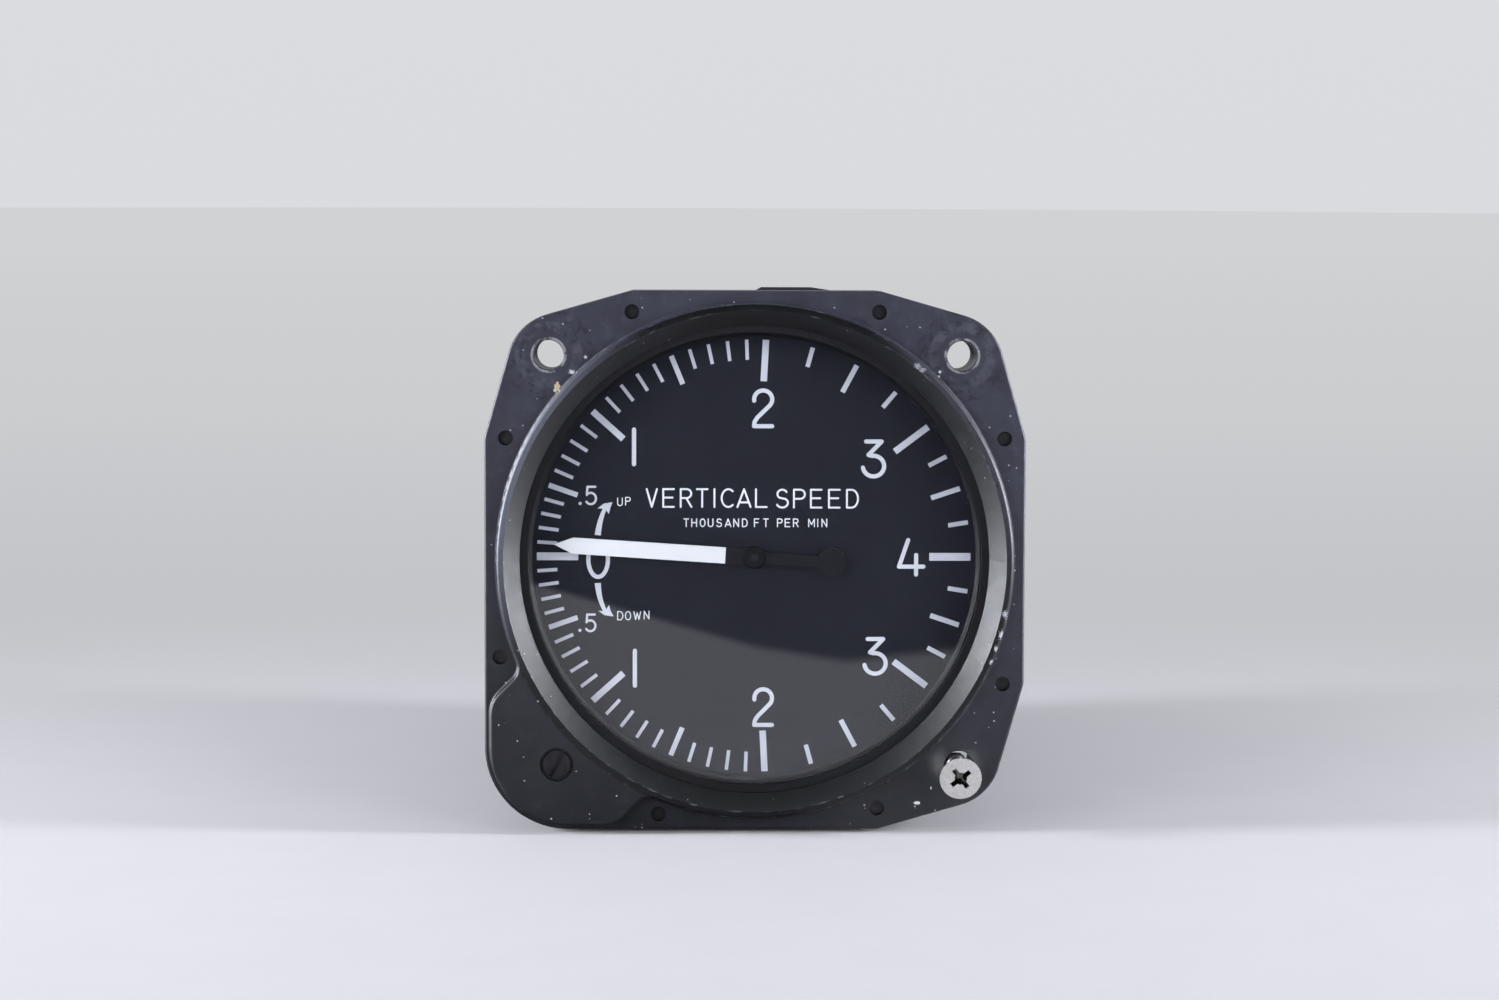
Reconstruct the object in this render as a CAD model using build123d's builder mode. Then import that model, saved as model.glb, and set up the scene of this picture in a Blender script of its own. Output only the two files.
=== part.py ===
from build123d import *
import math
import os

# A capsule-type vertical speed indicator for a round 3 1/8 inch panel hole.
# Origin: centre of the flange's front face. +X is right and +Z is up as the pilot sees the dial,
# and +Y runs back into the instrument. Depths below are Y values, and what stands proud is negative.
# All sizes are in millimetres.

# Flange outline, shared by bezel, gasket and case
flange_width = 82.55
flange_half = flange_width / 2
clip_start = 18.8
clip_angle = 16.0
clip_corner_radius = 8.4
kink_radius = 3.0
plain_corner_radius = 12.7
edge_round = 0.35

# Bezel casting
bezel_thickness = 6.2
ring_margin = 1.925
ring_height = 2.0
ring_edge_round = 0.4
base_fillet = 0.4
ring_land = 1.05
bevel_width = 2.25
bevel_back = 2.3
lip_back = 3.0
glass_lip = 1.65

# Panel mounting holes, 62.87 mm apart
mount_inset = 9.84
mount_hole_radius = 2.25
hole_rim = 0.12

# Glass stack, from the bezel lip back to the dial
glass_gasket_thickness = 0.6
glass_gasket_width = 2.7
glass_thickness = 2.8
spacer_width = 3.3
spacer_height = 2.8
spacer_chamfer = 0.6
dial_thickness = 0.8
stack_clearance = 0.1

# Gasket between bezel and case
flange_gasket_thickness = 0.4
gasket_inset = 0.3

# Case
case_flange_thickness = 5.4
barrel_step = 1.25
case_wall = 2.9
case_length = 88.9
case_rear_wall = 3.0
barrel_root_fillet = 1.2
barrel_end_round = 2.5
edge_pad_left = 0.2
edge_pad_width = 11.5
edge_pad_lead = 0.8
edge_pad_trail = 3.0
edge_pad_rise = 0.45
edge_pad_setback = 0.5
lug_reach = 3.0
lug_width = 7.0
lug_round = 1.5
lug_count = 3
lug_angle = 90.0

# Static port at the rear centre, and the spigot socket inside it
port_radius = 4.9
port_depth = 9.5
port_boss_radius = 10.0
port_boss_height = 7.0
filter_radius = 3.25
filter_thickness = 1.0
filter_seat_depth = 1.4
filter_clearance = 0.05
socket_radius = 6.0
socket_height = 6.0

# Dial scale: thousands of feet per minute against degrees from the zero mark
scale_law = [(0.0, 0.0), (0.5, 19.2), (0.75, 29.9), (1.0, 42.0), (2.0, 93.0), (3.0, 143.1), (4.0, 180.0)]
rest_rate = 0.095
mark_margin = 0.65
mark_thickness = 0.06
minor_mark_length = 3.1
minor_mark_width = 0.53
quarter_mark_width = 0.69
half_mark_length = 4.7
half_mark_width = 0.78
major_mark_length = 6.4
major_mark_width = 1.0
end_mark_width = 1.2

# Pointer
pointer_mark_gap = 2.65
pointer_taper = 2.9
pointer_width = 2.5
pointer_thickness = 0.45
pointer_lift = 1.05
tail_length = 12.1
tail_width = 1.8
tail_disc_radius = 2.15
poise_thickness = 0.67
hub_radius = 1.75
hub_rivet_radius = 1.2
hub_head_height = 0.45
hub_foot_height = 0.75
dial_hole_radius = 1.6

# Zero-adjust screw in the raised pad, and its pinion
zero_step = 3.92
zero_angle = 225.7
pad_angle = 225.0
pad_half_width = 13.4
pad_inset = 0.9
pad_corner_radius = 4.5
pad_root_radius = 2.5
zero_head_radius = 2.1
zero_rim_radius = 2.6
zero_rim_depth = 0.9
zero_head_setback = 0.5
zero_slot_width = 0.65
zero_slot_depth = 0.9
zero_slot_angle = 63.0
zero_bore_clearance = 0.05
zero_collar_radius = 3.3
zero_collar_thickness = 1.3
zero_collar_depth = 2.0
zero_shaft_radius = 1.5
zero_pivot_radius = 1.2
zero_pivot_length = 1.2
seal_groove_front = 1.4
seal_groove_width = 1.3
seal_groove_radius = 1.3
seal_squeeze_gap = 0.03
zero_pinion_teeth = 12
tab_gear_teeth = 163
tab_teeth = 10
zero_travel = 5.0

# Gear teeth
pressure_angle = 20.0
wheel_addendum = 0.65
wheel_dedendum = 1.1
pinion_addendum = 0.95
pinion_dedendum = 0.95
tooth_backlash = 0.16
tooth_root_overlap = 0.05

# Movement, which the zero-adjust screw turns as a unit
movement_gap = 2.0
plate_thickness = 1.6
plate_running_gap = 0.05
pocket_clearance = 0.5
pocket_wall = 1.6
pocket_floor = 2.0
train_length = 10.0
rear_plate_gap = 0.7
rear_plate_thickness = 1.4
train_pillar_radius = 2.0
train_pillar_circle = 20.0
train_pillar_angles = (143.0, 217.0, 310.0)
window_inset = 3.6
window_width = 4.8
window_spans = ((15.0, 62.0), (118.0, 137.0), (149.0, 181.0), (237.0, 255.0), (285.0, 303.0))
hold_down_inset = 4.2
washer_thickness = 0.4
washer_radius = 2.7

# Small screws
train_shank_radius = 0.8
train_head_radius = 1.6
train_head_height = 1.1
hold_down_shank_radius = 1.1
hold_down_head_radius = 2.1
hold_down_head_height = 1.2
frame_shank_radius = 1.0
frame_head_radius = 2.0
frame_head_height = 1.2
assembly_shank_radius = 1.42
assembly_head_radius = 2.3
assembly_head_height = 1.9
small_screw_length = 4.0
hold_down_length = 8.0
tapped_clearance = 0.03
clearance_gap = 0.13
slot_share = 0.25
slot_share_depth = 0.4

# Flange assembly screws
assembly_inset = 3.275
pad_screw_step = 2.25
pad_screw_offset = 24.3
recess_radius = 1.15
recess_depth = 0.8

# Pointer train
staff_pinion_teeth = 14
sector_gear_teeth = 112
sector_teeth = 18
train_module = 0.3
train_backlash = 0.1
sector_x = 18.47
sector_thickness = 1.0
sector_front = 3.0
sector_hub_radius = 3.0
sector_web_radius = 9.0
sector_rim_width = 2.0
sector_spoke_angle = 3.0
sector_tail_length = 5.6
sector_tail_width = 2.6
counterweight_radius = 2.8
counterweight_front = 1.4
counterweight_rear = 4.4
arbor_radius = 1.0
pivot_radius = 0.6
pivot_clearance = 0.04
pivot_setback = 0.2
bush_radius = 1.5
staff_radius = 0.8
staff_seat_radius = 0.55
staff_pinion_front = 2.4
staff_pinion_length = 2.2
staff_rear_radius = 0.4
assembly_clearance = 0.01

# Hairspring
spring_front = 6.0
spring_height = 0.5
spring_thickness = 0.15
spring_turns = 5
spring_outer_radius = 6.3
collet_radius = 1.5
collet_length = 1.2
stud_radius = 0.6

# Rocking shaft behind the rear plate, and its two arms
rocker_setback = 4.0
rocker_z = 4.0
rocker_radius = 1.2
rocker_pivot_radius = 0.6
bracket_left = -14.0
bracket_right = 17.0
bracket_thickness = 1.4
bracket_half_width = 3.5
bracket_foot_length = 6.0
arm_thickness = 1.2
arm_hub_radius = 2.0
arm_hub_length = 3.0
drive_pin_offset = 7.0
drive_pin_radius = 0.5
drive_pin_length = 5.0
drive_arm_length = 10.0
drive_arm_tip_radius = 0.8
drive_arm_offset = 1.8
drive_bar_overhang = 1.4
drive_gap = 0.15
capsule_arm_tip_radius = 0.9
arm_slot_width = 3.2
arm_slot_height = 8.0

# Link from the capsule arm to the capsule
link_ear_reach = 1.4
link_half_height = 1.4
link_ear_thickness = 1.2
link_ear_gap = 0.1
link_block_start = 2.8
link_block_end = 4.5
link_rod_radius = 0.9
link_length = 11.0
link_pin_radius = 0.45
link_eye_clearance = 0.06
link_eye_rise = 0.2

# Capsule: two corrugated diaphragms soldered at the rim
capsule_gap = 0.4
capsule_setback = 9.0
capsule_boss_radius = 3.0
capsule_boss_height = 3.0
capsule_half_depth = 3.5
capsule_rim_half = 0.25
capsule_wall = 0.35
capsule_ripple = 0.45
capsule_ripples = 3
capsule_seat_radius = 4.5
capsule_seat_height = 3.0
capsule_stem_length = 5.0
capsule_passage_radius = 0.8
stem_socket_depth = 4.0

# Frame that carries the capsule
capsule_plate_thickness = 2.0
frame_pillar_radius = 1.8
frame_pillar_inset = 2.1
frame_pillar_angle = 30.0
lightening_hole_radius = 4.5
lightening_hole_circle = 15.0
nut_radius = 5.2
nut_thickness = 2.5

# Inlet tube, with the calibrated leak on it
tube_radius = 1.5
tube_end_gap = 2.4
tube_running_gap = 0.06
leak_radius = 9.0
leak_wall = 1.8
leak_share = 0.586
leak_chamber_inner = 3.2
leak_plug_radius = 2.0
leak_plug_circle = 5.3
tube_seal_section = 0.42
tube_seal_seat_depth = 2.0

# Loose mounting screw, standing part way in the lower right hole
loose_screw_length = 9.5
loose_screw_radius = 1.72
loose_root_radius = 1.36
loose_screw_lead = 0.3
loose_head_radius = 3.2
loose_head_rim = 0.3
loose_head_angle = 82.0
loose_screw_proud = 6.0
loose_screw_gap = 0.08
loose_mouth_side = -141.3
loose_tip_side = 157.4
cross_recess_width = 0.75
cross_recess_span = 3.5
cross_recess_core = 0.95
cross_recess_depth = 1.6
cross_recess_angle = 38.0
cross_recess_taper = 9.0

# Depths that follow from the sizes above
case_front = bezel_thickness + flange_gasket_thickness
case_flange_back = case_front + case_flange_thickness
glass_front = lip_back + glass_gasket_thickness
glass_back = glass_front + glass_thickness
dial_front = glass_back + spacer_height
dial_back = dial_front + dial_thickness
plate_front = dial_back + movement_gap
plate_back = plate_front + plate_thickness
lug_seat = plate_back + plate_running_gap
pocket_back = plate_back + pocket_clearance
pocket_boss_back = pocket_back + pocket_floor
rear_plate_front = plate_back + train_length
rear_plate_back = rear_plate_front + rear_plate_thickness
rocker_depth = rear_plate_back + rocker_setback
capsule_boss_front = rocker_depth + capsule_setback
capsule_front = capsule_boss_front + capsule_boss_height
capsule_middle = capsule_front + capsule_half_depth
capsule_back = capsule_middle + capsule_half_depth
capsule_plate_front = capsule_back + capsule_seat_height
capsule_plate_back = capsule_plate_front + capsule_plate_thickness
stem_back = capsule_plate_front + capsule_stem_length
case_inside_back = case_length - case_rear_wall
socket_front = case_inside_back - socket_height
leak_space = socket_front - stem_back
leak_length = leak_share * leak_space
leak_front = stem_back + (leak_space - leak_length) / 2
leak_back = leak_front + leak_length
port_mouth = case_length + port_boss_height
port_bottom = port_mouth - port_depth
filter_front = port_bottom - filter_seat_depth
tube_back = case_inside_back - tube_end_gap
pointer_back = dial_front - pointer_lift
pointer_front = pointer_back - pointer_thickness

# Radii and places that follow from the sizes above
ring_radius = flange_half - ring_margin
bevel_front_radius = ring_radius - ring_land
bevel_back_radius = bevel_front_radius - bevel_width
stack_bore_radius = bevel_back_radius + glass_lip
glass_radius = stack_bore_radius - stack_clearance
glass_gasket_inner = glass_radius - glass_gasket_width
spacer_inner = glass_radius - spacer_width
mark_radius = spacer_inner - mark_margin
pointer_length = mark_radius - pointer_mark_gap
pointer_shoulder = pointer_length - pointer_taper
barrel_radius = ring_radius - barrel_step
case_bore_radius = barrel_radius - case_wall
hold_down_circle = case_bore_radius - hold_down_inset
lug_inner_radius = hold_down_circle - lug_reach
window_outer = hold_down_circle - window_inset
window_inner = window_outer - window_width
rear_plate_radius = lug_inner_radius - rear_plate_gap
capsule_plate_radius = rear_plate_radius
frame_pillar_circle = rear_plate_radius - frame_pillar_inset
capsule_radius = frame_pillar_circle - frame_pillar_radius - capsule_gap
zero_radius = ring_radius + zero_step
pad_screw_circle = ring_radius + pad_screw_step
zero_x = zero_radius * math.cos(math.radians(zero_angle))
zero_z = zero_radius * math.sin(math.radians(zero_angle))
zero_module = 2 * zero_radius / (tab_gear_teeth + zero_pinion_teeth)
tab_pitch_radius = zero_module * tab_gear_teeth / 2
zero_pinion_pitch_radius = zero_module * zero_pinion_teeth / 2
tab_pitch_angle = 360 / tab_gear_teeth
tab_half_angle = (tab_teeth + 0.9) / 2 * tab_pitch_angle
tab_tip_radius = tab_pitch_radius + wheel_addendum * zero_module
pinion_tip_radius = zero_pinion_pitch_radius + pinion_addendum * zero_module
pocket_radius = tab_tip_radius + pocket_clearance
pocket_half_angle = tab_half_angle + zero_travel + math.degrees(pocket_clearance / tab_tip_radius)
staff_pitch_radius = train_module * staff_pinion_teeth / 2
sector_pitch_radius = train_module * sector_gear_teeth / 2
sector_pitch_angle = 360 / sector_gear_teeth
train_distance = staff_pitch_radius + sector_pitch_radius
sector_z = math.sqrt(train_distance**2 - sector_x**2)
drive_x = sector_x - drive_pin_offset
drive_arm_x = drive_x - drive_arm_offset
mount_half = flange_half - mount_inset
assembly_half = flange_half - assembly_inset
assembly_places = [
    (assembly_half, clip_start),
    (clip_start, assembly_half),
    (-clip_start, assembly_half),
    (-assembly_half, clip_start),
    (assembly_half, -clip_start),
    (clip_start, -assembly_half),
]
assembly_places += [
    (pad_screw_circle * math.cos(math.radians(a)), pad_screw_circle * math.sin(math.radians(a)))
    for a in (pad_angle - pad_screw_offset, pad_angle + pad_screw_offset)
]
mount_places = [(-mount_half, mount_half), (mount_half, mount_half), (mount_half, -mount_half)]

# Screws as shank radius, head radius and head height, and marks as length and width
train_screw = (train_shank_radius, train_head_radius, train_head_height)
hold_down_screw = (hold_down_shank_radius, hold_down_head_radius, hold_down_head_height)
frame_screw = (frame_shank_radius, frame_head_radius, frame_head_height)
assembly_screw = (assembly_shank_radius, assembly_head_radius, assembly_head_height)
minor_mark = (minor_mark_length, minor_mark_width)
quarter_mark = (minor_mark_length, quarter_mark_width)
half_mark = (half_mark_length, half_mark_width)
major_mark = (major_mark_length, major_mark_width)
end_mark = (major_mark_length, end_mark_width)


def station(depth):
    """A plane across the instrument at a depth, seen from the front: local X is right and local Y is up."""
    return Plane(origin=(0, depth, 0), x_dir=(1, 0, 0), z_dir=(0, -1, 0))


def front_site(place, depth):
    """A plane for a hole drilled from the front at an (x, z) place."""
    return Plane(origin=(place[0], depth, place[1]), x_dir=(1, 0, 0), z_dir=(0, -1, 0))


def rear_site(place, depth):
    """A plane for a hole drilled from the rear at an (x, z) place."""
    return Plane(origin=(place[0], depth, place[1]), x_dir=(-1, 0, 0), z_dir=(0, 1, 0))


def aimed_site(place, depth, aim):
    """A plane at an (x, z) place whose local X points at another (x, z) place."""
    return Plane(
        origin=(place[0], depth, place[1]),
        x_dir=(aim[0] - place[0], 0, aim[1] - place[1]),
        z_dir=(0, -1, 0),
    )


def polar(radius, angle):
    """The (x, z) place at a radius and an angle from +X, counter-clockwise as seen from the front."""
    return (radius * math.cos(math.radians(angle)), radius * math.sin(math.radians(angle)))


def turned(profile, place=(0, 0), mode=Mode.ADD):
    """Turn a closed (radius, depth) profile about a fore-and-aft axis through an (x, z) place."""
    lathe = Plane(origin=(place[0], 0, place[1]), x_dir=(1, 0, 0), z_dir=(0, 0, 1))
    with BuildSketch(lathe) as section:
        with BuildLine():
            Polyline(*profile, close=True)
        make_face()
    revolve(section.sketch, axis=Axis((place[0], 0, place[1]), (0, 1, 0)), mode=mode)


def cross_turned(profile, depth, height):
    """Turn a closed (radius, x) profile about a left-to-right axis at a depth and a height."""
    lathe = Plane(origin=(0, depth, height), x_dir=(0, 0, 1), z_dir=(0, 1, 0))
    with BuildSketch(lathe) as section:
        with BuildLine():
            Polyline(*profile, close=True)
        make_face()
    revolve(section.sketch, axis=Axis((0, depth, height), (1, 0, 0)))


def ring(front, back, outer, inner, place=(0, 0)):
    """A flat ring between two depths."""
    with BuildSketch(front_site(place, front)) as section:
        Circle(outer)
        Circle(inner, mode=Mode.SUBTRACT)
    extrude(section.sketch, amount=-(back - front))


def ring_sector(inner, outer, start, end, mode=Mode.ADD):
    """A face between two radii and two angles, for use inside a sketch."""
    with BuildLine() as outline:
        CenterArc((0, 0), outer, start, end - start)
        CenterArc((0, 0), inner, start, end - start)
        Line(polar(inner, start), polar(outer, start))
        Line(polar(inner, end), polar(outer, end))
    make_face(outline.edges(), mode=mode)


def flange_outline(half=flange_half):
    """The square flange: three clipped corners round the mounting holes, and one plain corner."""
    slope = math.tan(math.radians(clip_angle))
    peak = (half + clip_start * slope) / (1 + slope)
    corners = [
        ((half, -clip_start), kink_radius),
        ((half, clip_start), kink_radius),
        ((peak, peak), clip_corner_radius),
        ((clip_start, half), kink_radius),
        ((-clip_start, half), kink_radius),
        ((-peak, peak), clip_corner_radius),
        ((-half, clip_start), kink_radius),
        ((-half, -half), plain_corner_radius),
        ((clip_start, -half), kink_radius),
        ((peak, -peak), clip_corner_radius),
    ]
    with BuildLine() as outline:
        FilletPolyline(*[c[0] for c in corners], radius=[c[1] for c in corners], close=True)
    make_face(outline.edges())


def pocket_outline(margin=0.0, mode=Mode.ADD):
    """The space for the movement's toothed tab and the zero pinion, grown by a margin."""
    spread = pocket_half_angle + math.degrees(margin / pocket_radius)
    inner = case_bore_radius - stack_clearance
    ring_sector(inner, pocket_radius + margin, zero_angle - spread, zero_angle + spread, mode=mode)
    with Locations((zero_x, zero_z)):
        Circle(pinion_tip_radius + pocket_clearance + margin, mode=mode)


def tooth_face(teeth, module, addendum, dedendum, backlash):
    """One gear tooth on the local X axis, each flank an arc through root, pitch and tip of an involute."""
    pitch = teeth * module / 2
    pressure = math.radians(pressure_angle)
    base = pitch * math.cos(pressure)

    def flank(radius, side):
        roll = math.acos(base / max(radius, base))
        half = math.pi / (2 * teeth) - backlash / (4 * pitch)
        half += (math.tan(pressure) - pressure) - (math.tan(roll) - roll)
        return (radius * math.cos(side * half), radius * math.sin(side * half))

    root = pitch - dedendum * module - tooth_root_overlap
    tip = pitch + addendum * module
    with BuildSketch(mode=Mode.PRIVATE) as tooth:
        with BuildLine():
            ThreePointArc(flank(root, 1), flank(pitch, 1), flank(tip, 1))
            ThreePointArc(flank(tip, 1), (tip, 0), flank(tip, -1))
            ThreePointArc(flank(tip, -1), flank(pitch, -1), flank(root, -1))
            Line(flank(root, -1), flank(root, 1))
        make_face()
    return tooth.sketch


def small_screw(place, seat, into, size, length):
    """A slotted pan-head screw whose head sits at a depth, with its shank towards +Y or -Y."""
    shank, head, height = size
    top = seat - into * height
    profile = [
        (0, top),
        (head * 0.8, top),
        (head, top + into * height * 0.4),
        (head, seat),
        (shank, seat),
        (shank, seat + into * length),
        (0, seat + into * length),
    ]
    turned(profile, place)
    site = front_site(place, top) if into > 0 else rear_site(place, top)
    with BuildSketch(site) as slot:
        Rectangle(2.2 * head, slot_share * head)
    extrude(slot.sketch, amount=-slot_share_depth * height, mode=Mode.SUBTRACT)


def scale_angle(rate):
    """Degrees from the zero mark for a rate of climb, along the dial's own law."""
    size = abs(rate)
    for (low, low_angle), (high, high_angle) in zip(scale_law, scale_law[1:]):
        if size <= high:
            share = (size - low) / (high - low)
            return math.copysign(low_angle + share * (high_angle - low_angle), rate)
    return math.copysign(scale_law[-1][1], rate)


def scale_marks():
    """Each graduation as (rate, (length, width)), climbing half only, without the zero and end marks."""
    marks = []
    for tenth in range(1, 20):
        size = major_mark if tenth == 10 else half_mark if tenth % 5 == 0 else minor_mark
        marks.append((tenth / 10, size))
    for quarter in range(8, 16):
        size = major_mark if quarter % 4 == 0 else half_mark if quarter % 2 == 0 else quarter_mark
        marks.append((quarter / 4, size))
    return marks


# Bezel: flange, pilot ring with its funnel, and the raised pad of the zero-adjust screw
with BuildPart() as bezel:
    with BuildSketch(station(0)):
        flange_outline()
    extrude(amount=-bezel_thickness)
    fillet(bezel.faces().sort_by(Axis.Y)[0].edges(), radius=edge_round)
    pad_edge = flange_half - pad_inset
    pad_side = math.sqrt(2) * pad_half_width
    pad_inner = bevel_back_radius - stack_clearance - pad_half_width
    with BuildSketch(station(0)) as collar:
        with BuildLine():
            FilletPolyline(
                (-pad_inner, pad_side - pad_inner),
                (-pad_edge, pad_side - pad_edge),
                (-pad_edge, -pad_edge),
                (pad_side - pad_edge, -pad_edge),
                (pad_side - pad_inner, -pad_inner),
                radius=[0, pad_corner_radius, plain_corner_radius - pad_inset, pad_corner_radius, 0],
                close=True,
            )
        make_face()
        Circle(ring_radius)
        on_ring = collar.vertices().filter_by(
            lambda v: v.X < 0 and v.Y < 0 and abs(math.hypot(v.X, v.Y) - ring_radius) < 0.001
        )
        fillet(on_ring, radius=pad_root_radius)
    extrude(amount=ring_height)
    collar_foot = bezel.edges(Select.LAST).filter_by_position(Axis.Y, -0.001, 0.001)
    fillet(collar_foot, radius=base_fillet)
    fillet(bezel.faces().sort_by(Axis.Y)[0].edges(), radius=ring_edge_round)
    funnel = [
        (0, -ring_height - 1),
        (bevel_front_radius, -ring_height - 1),
        (bevel_front_radius, -ring_height),
        (bevel_back_radius, bevel_back),
        (bevel_back_radius, lip_back),
        (stack_bore_radius, lip_back),
        (stack_bore_radius, bezel_thickness + 1),
        (0, bezel_thickness + 1),
    ]
    turned(funnel, mode=Mode.SUBTRACT)
    with Locations(*[front_site(p, 0) for p in mount_places]):
        CounterSinkHole(mount_hole_radius, mount_hole_radius + hole_rim, depth=bezel_thickness)
    with Locations(*[front_site(p, 0) for p in assembly_places]):
        Hole(recess_radius, depth=bezel_thickness)
    with Locations(*[rear_site(p, bezel_thickness) for p in assembly_places]):
        Hole(assembly_screw[0] + tapped_clearance, depth=bezel_thickness - recess_depth)
    with Locations(front_site((zero_x, zero_z), -ring_height)):
        CounterBoreHole(
            zero_head_radius + zero_bore_clearance, zero_rim_radius, zero_rim_depth,
            depth=ring_height + bezel_thickness,
        )
    with Locations(rear_site((zero_x, zero_z), bezel_thickness)):
        Hole(zero_collar_radius + pocket_clearance / 2, depth=zero_collar_depth)

# Flange gasket, cut to the flange's outline
with BuildPart() as flange_gasket:
    with BuildSketch(station(bezel_thickness)):
        flange_outline(flange_half - gasket_inset)
        Circle(stack_bore_radius, mode=Mode.SUBTRACT)
        pocket_outline(mode=Mode.SUBTRACT)
        with Locations(*mount_places):
            Circle(mount_hole_radius + clearance_gap, mode=Mode.SUBTRACT)
        with Locations(*assembly_places):
            Circle(assembly_screw[0] + clearance_gap, mode=Mode.SUBTRACT)
    extrude(amount=-flange_gasket_thickness)

# Glass and the rings that clamp it
with BuildPart() as glass_gasket:
    ring(lip_back, glass_front, glass_radius, glass_gasket_inner)

with BuildPart() as cover_glass:
    with BuildSketch(station(glass_front)):
        Circle(glass_radius)
    extrude(amount=-glass_thickness)
    chamfer(cover_glass.edges().filter_by(GeomType.CIRCLE), length=hole_rim)

with BuildPart() as spacer_ring:
    spacer_profile = [
        (spacer_inner, dial_front),
        (spacer_inner, glass_back + spacer_chamfer),
        (spacer_inner + spacer_chamfer, glass_back),
        (glass_radius, glass_back),
        (glass_radius, dial_front),
    ]
    turned(spacer_profile)

# Dial plate, and the printed scale on it
with BuildPart() as dial:
    ring(dial_front, dial_back, glass_radius, dial_hole_radius)

with BuildPart() as dial_graduations:
    with BuildSketch(station(dial_front)):
        for rate, (length, width) in scale_marks():
            for side in (1, -1):
                mark_angle = 180 - side * scale_angle(rate)
                with PolarLocations(mark_radius - length / 2, 1, start_angle=mark_angle):
                    Rectangle(length, width)
        with PolarLocations(mark_radius - end_mark[0] / 2, 2):
            Rectangle(*end_mark)
    extrude(amount=mark_thickness)

# Pointer, drawn along its own axis: blade, hub hole and tail disc
pointer_angle = 180 - scale_angle(rest_rate)
pointer_aim = polar(1, pointer_angle)
with BuildPart() as pointer:
    with BuildSketch(aimed_site((0, 0), pointer_back, pointer_aim)):
        with BuildLine():
            Polyline(
                (0, -pointer_width / 2),
                (pointer_shoulder, -pointer_width / 2),
                (pointer_length, 0),
                (pointer_shoulder, pointer_width / 2),
                (0, pointer_width / 2),
                close=True,
            )
        make_face()
        with Locations((-tail_length / 2, 0)):
            Rectangle(tail_length, tail_width)
        with Locations((-tail_length, 0)):
            Circle(tail_disc_radius)
        Circle(hub_radius)
        Circle(hub_rivet_radius + assembly_clearance, mode=Mode.SUBTRACT)
    extrude(amount=pointer_thickness)

# Poise behind the tail disc, which balances the pointer about its staff
with BuildPart() as pointer_poise:
    with BuildSketch(aimed_site((0, 0), pointer_back, pointer_aim)):
        with Locations((-tail_length, 0)):
            Circle(tail_disc_radius)
    extrude(amount=-poise_thickness)

# Hub, riveted through the pointer and pressed on the staff
with BuildPart() as pointer_hub:
    hub_bore = staff_seat_radius + assembly_clearance
    hub_front = pointer_front - hub_head_height
    hub_back = pointer_back + hub_foot_height
    hub_profile = [
        (hub_bore, hub_front),
        (hub_radius - hub_head_height / 2, hub_front),
        (hub_radius, hub_front + hub_head_height / 2),
        (hub_radius, pointer_front),
        (hub_rivet_radius, pointer_front),
        (hub_rivet_radius, pointer_back),
        (hub_radius, pointer_back),
        (hub_radius, hub_back),
        (hub_bore, hub_back),
    ]
    turned(hub_profile)

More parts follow.
